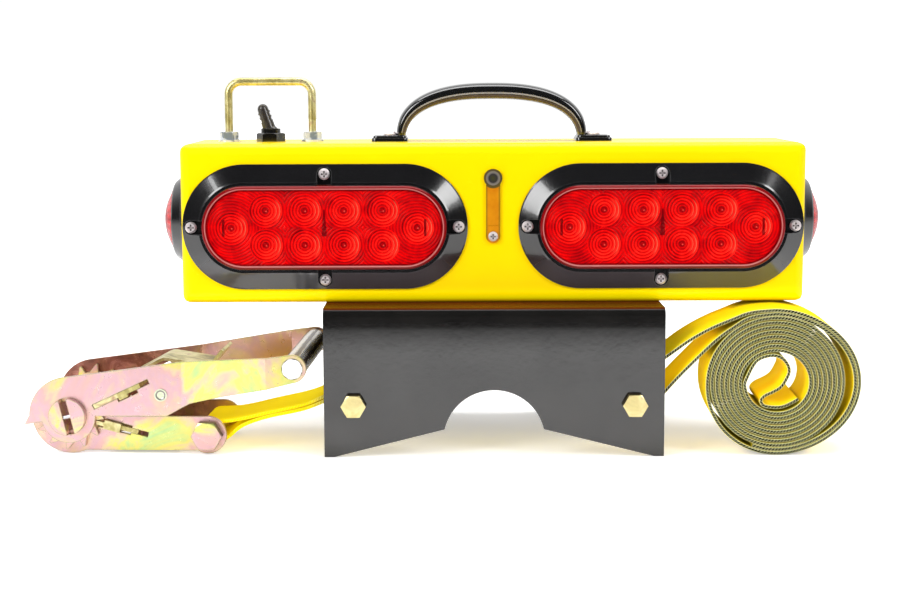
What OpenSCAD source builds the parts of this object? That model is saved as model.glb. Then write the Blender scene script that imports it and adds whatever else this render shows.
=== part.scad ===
// Wireless tow light: a battery light bar on a saddle bracket that is strapped to a towed tube.
// +X runs along the bar to the viewer's right, -Y is the front and +Z is up.
// The origin is on the axis of the saddle arch, midway between the bracket's two plates.

/* [Housing] */
// Width of the moulded housing
body_w = 415; // [409:1:440]
// Height of the housing
body_h = 106; // [102:1:116]
// Depth of the housing
body_d = 90; // [86:1:104]
// Radius of the moulded edges
body_edge_r = 7; // [6:0.5:9]
// Thickness of the housing's wall
wall = 4; // [3.5:0.5:5]
// Thickness of the back cover plate
cover_t = 2.5; // [2:0.5:4]
// Thickness of the gasket under the back cover
gasket_t = 1.5; // [1:0.5:2.5]
// Distance from the housing's edge to the back cover
cover_margin = 11; // [10:0.5:14]
// Width of the cover's sealed rim
cover_rim = 11; // [10:0.5:14]
// Radius of the cover's screw shanks
cover_screw_r = 1.9; // [1.5:0.1:2.2]

/* [Oval lamps] */
// Gap between a lamp flange and the housing's side
lamp_margin = 1.7; // [1:0.1:4]
// Height of the lamp centres above the housing's bottom
lamp_up = 51.2; // [49:0.1:54]
// Distance from the bar's middle to a lamp flange
lamp_mid_gap = 16.8; // [15:0.1:20]
// Height of a lamp flange
flange_h = 83; // [80:0.5:86]
// Thickness of a flange at its outer edge
flange_edge_t = 2; // [1.5:0.1:3]
// How far a flange's inner rim stands off the housing
flange_rise = 9; // [7:0.5:11]
// Height of the red lens
lens_h = 55; // [53:0.5:56]
// How far the lens rim stands proud of the flange
lens_proud = 1.8; // [1:0.1:3]
// Thickness of the lens
lens_t = 2.4; // [1.8:0.1:3]
// Depth of the lamp behind the housing's face
lamp_depth = 24; // [20:1:27]
// Distance between neighbouring diodes, as a share of the lamp's straight length
optic_share = 0.2425; // [0.23:0.0005:0.244]
// Distance between the two rows of diodes
optic_pitch_z = 22.7; // [22.2:0.1:23.5]
// Distance of an end diode beyond the centre of the lamp's round end
optic_end_out = 8.2; // [7:0.1:10]
// Radius of the ringed optic in front of a diode, as a share of the diodes' distance
optic_size = 0.428; // [0.36:0.002:0.436]
// Distance of an end screw beyond the centre of the lamp's round end
flange_screw_out = 35.5; // [34.5:0.1:36.5]
// Upward distance from a lamp's centre to its top screw
flange_screw_z = 35; // [34.5:0.1:36.5]
// Radius of the flange screws' shanks
flange_screw_r = 1.9; // [1.5:0.1:2.2]
// Radius of the flange screws' heads
flange_screw_head_r = 3.8; // [3.4:0.1:4]

/* [Marker lamps] */
// Outer radius of a marker lamp's flange
marker_flange_r = 32; // [29:0.5:35]
// Radius of a marker lamp's lens
marker_lens_r = 22; // [19:0.5:24]
// How far a marker flange's rim stands off the housing's end
marker_rise = 9.5; // [7:0.5:12]
// How far a marker lens stands off the housing's end
marker_lens_rise = 17; // [14:0.5:20]
// Depth of a marker lamp behind the housing's end
marker_depth = 14; // [10:1:15]

/* [Charge port] */
// Height of the charge jack above the housing's bottom
jack_up = 83; // [80:0.5:84]
// Radius of the jack's bezel and of the flap's round top
jack_bezel_r = 6.1; // [5.5:0.1:6.5]
// Radius of the jack's mouth
jack_bore_r = 3.4; // [2.6:0.1:3.8]
// Length of the jack behind the face
jack_depth = 16; // [12:1:18]
// Width of the flap
flap_w = 9.3; // [8:0.1:11]
// Thickness of the flap
flap_t = 1.5; // [1.2:0.1:2]
// Height of the flap's screw above the housing's bottom
flap_screw_up = 44.5; // [43:0.5:48]
// Distance from the flap's screw up to its living hinge
flap_root_len = 7; // [6:0.5:9]

/* [Carry handle] */
// Distance between the outer ends of the two feet
handle_w = 163; // [158:1:175]
// Length of a handle foot
foot_len = 24.5; // [23:0.5:27]
// Depth of a handle foot
foot_d = 28; // [26:0.5:32]
// Thickness of a handle foot
foot_t = 4; // [3:0.5:5]
// Height of the grip's top above the housing
handle_h = 39.4; // [36:0.2:46]
// Thickness of the grip at its middle
grip_t = 11; // [9:0.5:13]
// Width of the grip at its middle
grip_w = 25; // [22:0.5:26]
// Radius of the handle's screws
handle_screw_r = 2.4; // [2:0.1:2.8]

/* [Switch and guard] */
// Distance from the bar's end to the switch
switch_in = 56.5; // [52:0.5:60]
// Radius of the guard hoop's rod
hoop_r = 2.7; // [2.2:0.1:3]
// Distance between the hoop's legs
hoop_span = 57; // [54:0.5:62]
// Height of the hoop above the housing
hoop_h = 43.3; // [40:0.1:50]
// Radius of the hoop's corners, at the rod's centre
hoop_bend_r = 8.7; // [7:0.1:12]
// Width across flats of the hoop's nuts
hoop_nut_af = 11.1; // [10:0.1:12]
// Thickness of the hoop's nuts
hoop_nut_t = 5.4; // [4.5:0.1:6]
// Thickness of the hoop's washers
washer_t = 1.3; // [1:0.1:1.8]
// Radius of the hoop's washers
washer_r = 7.6; // [7:0.1:8.5]
// Width across flats of the switch's boot nut
boot_nut_af = 17; // [16:0.5:19]
// Height of the boot nut
boot_nut_h = 5.8; // [5:0.1:7]
// Radius of the boot's ball
boot_ball_r = 5.6; // [5:0.1:6]
// Length of the boot from the ball's centre to its tip
boot_len = 20.5; // [18:0.5:24]
// Radius of the boot at its tip
boot_tip_r = 3.6; // [3:0.1:4]
// Angle of the lever off the vertical, either way
lever_tilt = 18; // [14:1:20]

/* [Saddle bracket] */
// Width of the bracket along the bar
bracket_w = 223; // [215:1:240]
// Depth of the bracket between the outer faces of its plates
bracket_d = 150; // [148:1:160]
// Height of the bracket
bracket_h = 98; // [96:0.5:104]
// Thickness of the bracket's plate
plate_t = 3.2; // [2.5:0.1:3.6]
// Outer radius of the bracket's two folds
fold_r = 5; // [4.5:0.5:8]
// Radius of the saddle arch
arch_r = 33.3; // [31:0.1:35]
// Height of the arch's axis above the ground
arch_up = 11; // [9:0.5:12]
// Distance from the bracket's middle to each arch corner
arch_corner_x = 32.5; // [28:0.1:32.6]
// Length of each flat foot at the plates' outer corners
bracket_foot = 6.5; // [5:0.5:10]
// Distance from the bracket's middle to each cross bolt
cross_x = 92; // [91:0.5:95]
// Height of the cross bolts above the ground
cross_up = 34.5; // [33:0.5:35]
// Radius of the cross bolts
cross_r = 4.76; // [4:0.01:5]
// Outer radius of the sleeves on the cross bolts
sleeve_r = 6.35; // [5.8:0.01:6.6]
// Width across flats of the cross bolts' heads and nuts
cross_af = 14.3; // [13:0.1:16]
// Height of the cross bolts' heads
cross_head_t = 6; // [5:0.5:7]
// Sideways distance from the middle to the bolts that hold the housing
mount_bolt_x = 84; // [82:1:88]
// Distance front to back from the middle to those bolts
mount_bolt_y = 27; // [25:0.5:29]
// Radius of the bolts that hold the housing
mount_bolt_r = 3.2; // [2.8:0.1:3.6]

/* [Strap] */
// Width of the webbing
strap_w = 50.8; // [48:0.1:52]
// Thickness of the webbing
strap_t = 2.4; // [2:0.1:2.5]
// Distance of the strap's middle line in front of the bracket's middle
strap_front = 40; // [38:0.5:41]
// Angle by which the strap and ratchet are turned off the bar
strap_yaw = 2.5; // [2:0.1:2.6]
// Distance from the bar's middle to the roll's centre
roll_x = 186; // [185:0.5:190]
// Height of the roll's centre above the ground
roll_up = 48; // [47.9:0.1:48.1]
// Distance from one turn of the roll to the next
roll_pitch = 3.05; // [3:0.01:3.1]
// Radius of the roll's first tight turn at its left side
roll_r = 45; // [44.9:0.1:45.1]
// Number of tight turns
roll_turns = 8; // [7:1:8]

/* [Ratchet] */
// Distance from the bar's middle to the ratchet's axle
axle_x = 280; // [279:0.5:284]
// Height of the axle above the ground, and radius of the frame's and handle's heads
axle_up = 26; // [25.6:0.1:27]
// Radius of the split axle
axle_r = 12.2; // [11.5:0.1:12.4]
// Width of the slot between the axle's halves
axle_slot = 5; // [4:0.1:6]
// Distance from the bar's middle to the anchor bolt
anchor_x = 188.5; // [188:0.5:190]
// Height of the anchor bolt above the ground, and radius of the frame's end
anchor_up = 12.5; // [12.4:0.1:12.6]
// Radius of the anchor bolt
anchor_r = 6; // [5.5:0.1:6.1]
// Width across flats of the anchor bolt's head and nut
anchor_af = 18; // [16:0.5:19]
// Clear width between the frame's plates
frame_in = 57; // [56:0.5:60]
// Thickness of the frame's and handle's plates
ratchet_t = 2.5; // [2:0.1:3]
// Thickness of a ratchet wheel
wheel_t = 3; // [2.5:0.1:3.5]
// Radius at the roots of the wheel's teeth
tooth_root_r = 17.6; // [17:0.1:18.2]
// Radius at the tips of the wheel's teeth
tooth_tip_r = 23; // [22:0.1:23.3]
// Angle of the frame pawl below the level
frame_pawl_angle = 14.8; // [14:0.1:15.2]
// Angle of the handle pawl above the level
handle_pawl_angle = 25; // [24:0.5:26]
// Travel of the pawls when they are pulled
pawl_travel = 6; // [5.8:0.1:6.5]
// Thickness of the frame pawl's body
frame_pawl_t = 6; // [5:0.1:6.4]
// Thickness of the handle pawl
handle_pawl_t = 3; // [2.4:0.1:3.4]
// Distance from the bar's middle to the grip tube
grip_x = 127.2; // [126:0.1:130]
// Height of the grip tube above the ground
grip_up = 62.5; // [61:0.1:63]
// Radius of the grip tube
grip_r = 8; // [7.4:0.1:8.4]
// Radius of the grip tube's bore
grip_bore_r = 5.15; // [4.5:0.05:5.5]
// Sideways flare of each handle plate
handle_flare = 25; // [20:1:28]

/* [Hidden] */
$fn = 64;

// Colours
yellow = "gold";
black = "#1c1c1e";
lens_red = "#d0101c";
zinc = "#c8ccd0";
gold_zinc = "#c9a648";
chromate = "#d9b79a";
board_green = "#1f6b3a";

// Clearances and small shared sizes
seat_gap = 0.05;
run_gap = 0.08;
part_gap = 0.3;
eps = 0.01;
thread_out = 2;

// Levels
ground = -arch_up;
body_bottom = ground + bracket_h;
body_top = body_bottom + body_h;
body_mid = body_bottom + body_h / 2;
front = -body_d / 2;
back = body_d / 2;

// Lamp sizes
function to_tenth(length) = round(10 * length) / 10;
lamp_straight = to_tenth(body_w / 2 - lamp_margin - lamp_mid_gap - flange_h);
lamp_x = body_w / 2 - lamp_margin - (lamp_straight + flange_h) / 2;
optic_pitch_x = to_tenth(lamp_straight * optic_share);
optic_end_x = lamp_straight / 2 + optic_end_out;
optic_r = to_tenth(optic_pitch_x * optic_size);
flange_screw_x = lamp_straight / 2 + flange_screw_out;
switch_x = body_w / 2 - switch_in;
lens_r = lens_h / 2;
sleeve_in = lens_r + part_gap;
sleeve_wall = 2.2;
sleeve_out = sleeve_in + sleeve_wall;
sleeve_depth = 10;
lens_wall = 2;
lens_skirt = 2;
lens_face = flange_rise + lens_proud;
led_columns = [-1.5, -0.5, 0.5, 1.5];
led_rows = [-0.5, 0.5];
led_places = [for (c = led_columns, r = led_rows) [c * optic_pitch_x, r * optic_pitch_z]];
led_ends = [[-optic_end_x, 0], [optic_end_x, 0]];
led_floor = 6;
board_t = 1.6;
notch_floor = flange_edge_t + 0.6;
flange_screw_places = [[-flange_screw_x, 0], [flange_screw_x, 0], [0, flange_screw_z], [0, -flange_screw_z]];
screw_len = 12;

// Places on the housing
cover_size = [body_w - 2 * cover_margin, body_h - 2 * cover_margin];
cover_corner_r = 8;
cover_screw_x = cover_size[0] / 2 - cover_rim / 2;
cover_screw_z = cover_size[1] / 2 - cover_rim / 2;
cover_screws_across = 4;
cover_screw_places = concat(
  [for (i = [0 : cover_screws_across - 1], s = [-1, 1])
    [cover_screw_x * (2 * i / (cover_screws_across - 1) - 1), s * cover_screw_z]],
  [for (s = [-1, 1]) [s * cover_screw_x, 0]]);
foot_x = handle_w / 2 - foot_len / 2;
foot_screw_y = foot_d / 4;
handle_screw_places = [for (sx = [-1, 1], sy = [-1, 1]) [sx * foot_x, sy * foot_screw_y]];
mount_bolt_places = [for (sx = [-1, 1], sy = [-1, 1]) [sx * mount_bolt_x, sy * mount_bolt_y]];
cross_places = [-cross_x, cross_x];
hoop_legs = [-switch_x - hoop_span / 2, -switch_x + hoop_span / 2];

// A box with every edge rounded: the part common to three round-cornered bars
module soft_box(w, d, h, r) intersection() {
  linear_extrude(h, center = true) round_rect(w, d, r);
  rotate([90, 0, 0]) linear_extrude(d, center = true) round_rect(w, h, r);
  rotate([90, 0, 90]) linear_extrude(w, center = true) round_rect(d, h, r);
}

// A flat rectangle with round corners
module round_rect(w, h, r) {
  square([w - 2 * r, h], center = true);
  square([w, h - 2 * r], center = true);
  for (x = [-1, 1], y = [-1, 1])
    translate([x * (w / 2 - r), y * (h / 2 - r)]) circle(r);
}

// A flat shape with two half-round ends, straight being the distance between their centres
module stadium(straight, r) {
  square([straight, 2 * r], center = true);
  for (side = [-1, 1]) translate([side * straight / 2, 0]) circle(r);
}

// Sweeps a profile round a stadium; the profile's x is the distance from the spine
module stadium_sweep(straight) {
  for (side = [-1, 1])
    translate([side * straight / 2, 0, 0]) rotate([0, 0, -90 * side])
      rotate_extrude(angle = 180) children();
  for (turn = [0, 180])
    rotate([0, 0, turn]) translate([-straight / 2, 0, 0]) rotate([90, 0, 90])
      linear_extrude(straight) children();
}

// Local frames: x to the right, y up and z out of the face
module on_front(x, up) translate([x, front, body_bottom + up]) rotate([90, 0, 0]) children();
module on_back(x, up) translate([x, back, body_mid + up]) rotate([-90, 0, 0]) children();
module on_end(side) translate([side * body_w / 2, 0, body_mid]) rotate([0, side * 90, 0]) children();
module on_top(x, y = 0) translate([x, y, body_top]) children();
module on_ground() translate([0, 0, ground]) children();

// A cross-recessed pan head screw whose head sits on z = 0
module screw(head_r, shank_r, length) {
  head_h = 0.55 * head_r;
  cross_w = 0.28 * head_r;
  difference() {
    union() {
      cylinder(r = head_r, h = head_h / 2);
      translate([0, 0, head_h / 2]) cylinder(r1 = head_r, r2 = 0.7 * head_r, h = head_h / 2);
    }
    for (turn = [0, 90])
      rotate([0, 0, turn]) translate([0, 0, head_h])
        cube([1.1 * head_r, cross_w, head_h], center = true);
  }
  translate([0, 0, -length]) cylinder(r = shank_r, h = length);
}

// A six-sided prism with bevelled corners on its outer end
module hex(across_flats, thickness) {
  corner_r = across_flats / sqrt(3);
  bevel = (corner_r - across_flats / 2) / 2;
  intersection() {
    cylinder(r = corner_r, h = thickness, $fn = 6);
    union() {
      cylinder(r = corner_r, h = thickness - bevel);
      translate([0, 0, thickness - bevel]) cylinder(r1 = corner_r, r2 = across_flats / 2, h = bevel);
    }
  }
}

// A loft through rings of points, all with the same number of points
function loft_points(rings) = [for (ring = rings, point = ring) point];
function loft_faces(count, sides) = concat(
  [[for (i = [sides - 1 : -1 : 0]) i]],
  [for (r = [0 : count - 2], i = [0 : sides - 1])
    let (j = (i + 1) % sides, a = r * sides)
    [a + i, a + j, a + sides + j, a + sides + i]],
  [[for (i = [0 : sides - 1]) (count - 1) * sides + i]]);
module loft(rings) polyhedron(loft_points(rings), loft_faces(len(rings), len(rings[0])), convexity = 6);

// Housing
module housing_openings() {
  for (side = [-1, 1]) {
    on_front(side * lamp_x, lamp_up) {
      translate([0, 0, -2 * wall]) linear_extrude(3 * wall) stadium(lamp_straight, sleeve_out + seat_gap);
      for (p = flange_screw_places)
        translate([p[0], p[1], -2 * wall]) cylinder(r = flange_screw_r + seat_gap, h = 3 * wall);
    }
    on_end(side)
      translate([0, 0, -2 * wall]) cylinder(r = marker_sleeve_r + seat_gap, h = 3 * wall);
  }
  on_front(0, jack_up) {
    translate([0, 0, -2 * wall]) cylinder(r = jack_body_r + seat_gap, h = 3 * wall);
    translate([0, 0, -jack_bezel_t]) cylinder(r = jack_bezel_r + seat_gap, h = wall);
  }
  on_front(0, flap_screw_up)
    translate([0, 0, -2 * wall]) cylinder(r = flap_screw_r + seat_gap, h = 3 * wall);
  for (x = hoop_legs)
    on_top(x) translate([0, 0, -2 * wall]) cylinder(r = hoop_r + part_gap, h = 3 * wall);
  on_top(-switch_x) translate([0, 0, -2 * wall]) cylinder(r = bushing_r + seat_gap, h = 3 * wall);
  for (p = handle_screw_places)
    on_top(p[0], p[1]) translate([0, 0, -2 * wall]) cylinder(r = handle_screw_r + seat_gap, h = 3 * wall);
  for (p = mount_bolt_places)
    translate([p[0], p[1], body_bottom - wall]) cylinder(r = mount_bolt_r + part_gap, h = 3 * wall);
  for (p = cover_screw_places)
    on_back(p[0], p[1]) translate([0, 0, -2 * wall]) cylinder(r = cover_screw_r + seat_gap, h = 3 * wall);
  on_back(0, 0) translate([0, 0, -2 * wall])
    linear_extrude(3 * wall)
      round_rect(cover_size[0] - 2 * cover_rim, cover_size[1] - 2 * cover_rim, cover_corner_r);
}

module housing() color(yellow) difference() {
  translate([0, 0, body_mid]) soft_box(body_w, body_d, body_h, body_edge_r);
  translate([0, 0, body_mid]) cube([body_w - 2 * wall, body_d - 2 * wall, body_h - 2 * wall], center = true);
  housing_openings();
}

// Back cover
module cover_plate(thickness) difference() {
  linear_extrude(thickness) round_rect(cover_size[0], cover_size[1], cover_corner_r);
  for (p = cover_screw_places)
    translate([p[0], p[1], -eps]) cylinder(r = cover_screw_r + seat_gap, h = thickness + 2 * eps);
}

module back_cover_gasket() color(black) on_back(0, 0) difference() {
  cover_plate(gasket_t);
  translate([0, 0, -eps]) linear_extrude(gasket_t + 2 * eps)
    round_rect(cover_size[0] - 2 * cover_rim, cover_size[1] - 2 * cover_rim, cover_corner_r);
}

module back_cover() color(yellow) on_back(0, 0) translate([0, 0, gasket_t]) cover_plate(cover_t);

module back_cover_screws() color(zinc)
  for (p = cover_screw_places)
    on_back(p[0], p[1]) translate([0, 0, gasket_t + cover_t])
      screw(2 * cover_screw_r, cover_screw_r, gasket_t + cover_t + wall + thread_out);

// Oval lamps
module flange_profile() {
  edge_r = flange_h / 2;
  rim_r = sleeve_in + 3.2;
  polygon([[sleeve_in, -sleeve_depth], [sleeve_out, -sleeve_depth], [sleeve_out, 0], [edge_r, 0],
    [edge_r, flange_edge_t - 0.6], [edge_r - 0.8, flange_edge_t], [rim_r, flange_rise - 0.7],
    [rim_r - 1.2, flange_rise], [sleeve_in, flange_rise]]);
}

// The recess round a flange screw is open towards the lens
module flange_notch(place) {
  notch_r = flange_screw_head_r + 1;
  inward = [place[0] == 0 ? 0 : -sign(place[0]), place[1] == 0 ? 0 : -sign(place[1])];
  reach = norm(place) - (place[1] == 0 ? lamp_straight / 2 : 0) - lens_r;
  translate([place[0], place[1], notch_floor]) {
    cylinder(r = notch_r, h = flange_rise);
    translate([min(0, inward[0] * reach), min(0, inward[1] * reach), 0]
        - [inward[0] == 0 ? notch_r : 0, inward[1] == 0 ? notch_r : 0, 0])
      cube([inward[0] == 0 ? 2 * notch_r : reach, inward[1] == 0 ? 2 * notch_r : reach, flange_rise]);
  }
}

module oval_lamp_flange(side) color(black) on_front(side * lamp_x, lamp_up) difference() {
  stadium_sweep(lamp_straight) flange_profile();
  for (p = flange_screw_places) {
    flange_notch(p);
    translate([p[0], p[1], -1]) cylinder(r = flange_screw_r + seat_gap, h = flange_rise);
  }
}

// A round optic with stepped rings, hanging from z = 0
module optic(r, rings) {
  step = r / rings;
  deep = 1.7;
  thin = 0.5;
  rotate_extrude()
    polygon(concat([[0, 0.2]],
      [for (i = [0 : rings - 1], k = [0, 1]) [(i + k) * step, k == 0 ? -deep : -thin]],
      [[r, 0.2]]));
}

module oval_lens(side) color(lens_red) on_front(side * lamp_x, lamp_up) {
  rim_w = 3;
  top = lens_face;
  under = top - lens_proud - lens_t;
  stadium_sweep(lamp_straight)
    polygon([[lens_r - lens_wall, -lens_skirt], [lens_r, -lens_skirt], [lens_r, top - 0.8],
      [lens_r - 0.8, top], [lens_r - rim_w + 0.8, top], [lens_r - rim_w, top - lens_proud],
      [lens_r - rim_w, under], [lens_r - lens_wall, under]]);
  translate([0, 0, under]) linear_extrude(lens_t) stadium(lamp_straight, lens_r - lens_wall / 2);
  translate([0, 0, under]) {
    for (p = led_places) translate([p[0], p[1], 0]) optic(optic_r, 4);
    for (p = led_ends)
      difference() {
        intersection() {
          translate([p[0], p[1], 0]) optic(2 * optic_r, 8);
          translate([0, 0, -lens_t]) linear_extrude(2 * lens_t)
            stadium(lamp_straight, lens_r - lens_wall - eps);
        }
        for (q = led_places)
          if (abs(q[0]) > optic_pitch_x && sign(q[0]) == sign(p[0]))
            translate([q[0], q[1], -lens_t]) cylinder(r = optic_r - eps, h = lens_t - eps);
        translate([p[0] - sign(p[0]) * 3 * optic_r, p[1], -lens_t])
          cube([4 * optic_r, 4 * optic_r, 2 * (lens_t - eps)], center = true);
      }
  }
}

module oval_led_board(side) color(board_green)
  on_front(side * lamp_x, lamp_up) translate([0, 0, -led_floor]) {
    linear_extrude(board_t) stadium(lamp_straight, lens_r - lens_wall - part_gap);
    for (p = concat(led_places, led_ends))
      translate([p[0], p[1], board_t]) {
        translate([-2.5, -2.5, 0]) cube([5, 5, 1.4]);
        cylinder(r1 = 2.1, r2 = 1.2, h = 2.6);
      }
  }

module oval_lamp_base(side) color(black) on_front(side * lamp_x, lamp_up) {
  ledge_t = 2;
  base_wall = lens_wall;
  depth = lamp_depth - lens_skirt;
  translate([0, 0, -lamp_depth]) difference() {
    linear_extrude(depth) stadium(lamp_straight, lens_r);
    translate([0, 0, base_wall]) linear_extrude(depth) stadium(lamp_straight, lens_r - base_wall - ledge_t);
    translate([0, 0, lamp_depth - led_floor]) linear_extrude(depth) stadium(lamp_straight, lens_r - base_wall);
  }
  translate([0, 0, -lamp_depth - 5]) cylinder(r = 9, h = 5);
}

module flange_screws(side) color(zinc) on_front(side * lamp_x, lamp_up)
  for (p = flange_screw_places)
    translate([p[0], p[1], notch_floor]) screw(flange_screw_head_r, flange_screw_r, screw_len);

// Marker lamps
marker_sleeve_r = marker_lens_r + part_gap + 2;

module marker_flange(side) color(black) on_end(side) {
  inner = marker_lens_r + part_gap;
  rotate_extrude()
    polygon([[inner, -6], [marker_sleeve_r, -6], [marker_sleeve_r, 0], [marker_flange_r, 0],
      [marker_flange_r, 1.6], [marker_flange_r - 1, 2.6], [inner + 4, marker_rise - 1],
      [inner + 2.6, marker_rise], [inner, marker_rise]]);
}

module marker_lens(side) color(lens_red) on_end(side) {
  shell = 2;
  shoulder = marker_rise + 1.5;
  dome_h = marker_lens_rise - shoulder;
  dome_r = (pow(marker_lens_r - 2, 2) + pow(dome_h, 2)) / (2 * dome_h);
  steps = 12;
  span = asin((marker_lens_r - 2) / dome_r);
  arc = [for (i = [0 : steps]) let (a = span * (1 - i / steps)) [a, dome_r]];
  rotate_extrude()
    polygon(concat(
      [[marker_lens_r - shell, -2], [marker_lens_r, -2], [marker_lens_r, shoulder - 1],
        [marker_lens_r - 1, shoulder]],
      [for (p = arc) [p[1] * sin(p[0]), marker_lens_rise - p[1] * (1 - cos(p[0]))]],
      [[0, marker_lens_rise - shell - 1], [marker_lens_r - 4, shoulder - shell], [marker_lens_r - shell, shoulder - shell - 2]]));
}

module marker_base(side) color(black) on_end(side) difference() {
  union() {
    translate([0, 0, -marker_depth]) cylinder(r = marker_lens_r, h = marker_depth - 2);
    translate([0, 0, -marker_depth - 3]) cylinder(r = 7, h = 3);
    translate([0, 0, -marker_depth]) cylinder(r = 3.5, h = marker_depth + 3);
  }
  difference() {
    translate([0, 0, 2 - marker_depth]) cylinder(r = marker_lens_r - 2, h = marker_depth);
    translate([0, 0, -marker_depth]) cylinder(r = 3.5, h = marker_depth + 3);
  }
}

// Charge port
jack_body_r = jack_bore_r + 1.8;
jack_bezel_t = 1;
flap_screw_r = 1.6;
flap_screw_head_r = 3.2;
flap_lift = 0.1;
flap_hinge_up = flap_screw_up + flap_root_len;
flap_hinge_gap = 0.2;

module charge_jack() color(black) on_front(0, jack_up) difference() {
  union() {
    translate([0, 0, -jack_depth]) cylinder(r = jack_body_r, h = jack_depth);
    translate([0, 0, -jack_bezel_t]) cylinder(r = jack_bezel_r, h = jack_bezel_t);
    translate([0, 0, -wall - 4]) cylinder(r = jack_bezel_r, h = 4 - seat_gap, $fn = 6);
  }
  difference() {
    translate([0, 0, 2 - jack_depth]) cylinder(r = jack_bore_r, h = jack_depth);
    translate([0, 0, -jack_depth]) cylinder(r = 1, h = jack_depth - 4);
  }
}

module port_flap() color("darkgoldenrod", 0.7) on_front(0, jack_up) {
  low = flap_hinge_up + flap_hinge_gap - jack_up;
  plug_r = jack_bore_r - 0.5;
  translate([0, 0, flap_lift]) {
    linear_extrude(flap_t) {
      circle(jack_bezel_r);
      translate([-flap_w / 2, low]) square([flap_w, -low]);
    }
    translate([0, 0, -3]) cylinder(r = plug_r, h = 3 + eps);
  }
}

module port_flap_root() color("darkgoldenrod", 0.7) on_front(0, flap_screw_up) difference() {
  linear_extrude(flap_t + flap_lift) {
    circle(flap_w / 2);
    translate([-flap_w / 2, 0]) square([flap_w, flap_root_len]);
  }
  translate([0, 0, -1]) cylinder(r = flap_screw_r + seat_gap, h = flap_t + 3);
}

module port_flap_screw() color(zinc) on_front(0, flap_screw_up)
  translate([0, 0, flap_t + flap_lift]) screw(flap_screw_head_r, flap_screw_r, screw_len - 2);

// Carry handle: a lofted grip whose centre line is a superellipse
handle_half = handle_w / 2 - foot_len * 0.8;
handle_axis_h = handle_h - grip_t / 2;
handle_power = 0.8;
handle_rings = 36;
handle_sides = 16;
neck_t = 5.5;
neck_w = 20;

function handle_axis(a) =
  [handle_half * sign(cos(a)) * pow(abs(cos(a)), handle_power), handle_axis_h * pow(sin(a), handle_power)];
function handle_ring(a) =
  let (
    here = handle_axis(a),
    along = handle_axis(min(a + 1, 179.5)) - handle_axis(max(a - 1, 0.5)),
    n = [along[1], -along[0]] / norm(along),
    full = pow(sin(a), 0.7),
    half_t = (neck_t + (grip_t - neck_t) * full) / 2,
    half_w = (neck_w + (grip_w - neck_w) * full) / 2)
  [for (i = [0 : handle_sides - 1])
    let (
      b = 360 * i / handle_sides,
      out = half_t * sign(cos(b)) * pow(abs(cos(b)), 0.7),
      across = -half_w * sign(sin(b)) * pow(abs(sin(b)), 0.7))
    [here[0] + n[0] * out, across, here[1] + n[1] * out]];

module carry_handle() color(black) on_top(0) difference() {
  union() {
    loft([for (i = [0 : handle_rings]) handle_ring(4 + 172 * i / handle_rings)]);
    for (side = [-1, 1])
      translate([side * foot_x, 0, 0]) {
        translate([0, 0, foot_t * 0.6]) linear_extrude(foot_t * 0.4) round_rect(foot_len - 2, foot_d - 2, 3);
        linear_extrude(foot_t * 0.6) round_rect(foot_len, foot_d, 3);
      }
  }
  for (p = handle_screw_places)
    translate([p[0], p[1], -1]) cylinder(r = handle_screw_r + seat_gap, h = foot_t + 2);
  translate([-handle_w / 2, -foot_d / 2, -foot_t]) cube([handle_w, foot_d, foot_t]);
}

module handle_screws() color(zinc)
  for (p = handle_screw_places)
    on_top(p[0], p[1]) translate([0, 0, foot_t]) screw(1.8 * handle_screw_r, handle_screw_r, screw_len);

// Switch guard
module guard_hoop() color(gold_zinc) {
  below = wall + hoop_nut_t + washer_t + thread_out;
  axis_h = hoop_h - hoop_r;
  flat = hoop_span - 2 * hoop_bend_r;
  for (x = hoop_legs)
    on_top(x) translate([0, 0, -below]) cylinder(r = hoop_r, h = below + axis_h - hoop_bend_r);
  on_top(-switch_x) {
    translate([-flat / 2, 0, axis_h]) rotate([0, 90, 0]) cylinder(r = hoop_r, h = flat);
    for (side = [0, 180])
      rotate([0, 0, side]) translate([flat / 2, 0, axis_h - hoop_bend_r]) rotate([90, 0, 0])
        rotate_extrude(angle = 90) translate([hoop_bend_r, 0]) circle(hoop_r);
  }
}

module ring_on_leg(r_out, thickness, flats) difference() {
  if (flats) hex(r_out, thickness);
  else cylinder(r = r_out, h = thickness);
  translate([0, 0, -1]) cylinder(r = hoop_r + seat_gap, h = thickness + 2);
}

module guard_nuts() color(zinc)
  for (x = hoop_legs) on_top(x) {
    translate([0, 0, washer_t]) ring_on_leg(hoop_nut_af, hoop_nut_t, true);
    translate([0, 0, -wall - washer_t]) mirror([0, 0, 1]) ring_on_leg(hoop_nut_af, hoop_nut_t, true);
  }

module guard_washers() color(zinc)
  for (x = hoop_legs) on_top(x) {
    ring_on_leg(washer_r, washer_t, false);
    translate([0, 0, -wall - washer_t]) ring_on_leg(washer_r, washer_t, false);
  }

// Toggle switch
bushing_r = boot_ball_r - 0.2;
bushing_bore_r = bushing_r - 1.2;
pivot_up = boot_nut_h;
lever_r = 1.8;
lever_below = 6;
switch_size = [28, 15, 22];

module switch_body() color(black) on_top(-switch_x) difference() {
  union() {
    translate([0, 0, -wall - switch_size[2] / 2]) cube(switch_size, center = true);
    translate([0, 0, -wall]) cylinder(r = bushing_r, h = wall);
    for (x = [-8, 0, 8])
      translate([x - 1, -2, -wall - switch_size[2] - 6]) cube([2, 4, 6]);
  }
  translate([0, 0, -wall - lever_below]) cylinder(r = bushing_bore_r, h = wall + 2 * lever_below);
}

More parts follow.
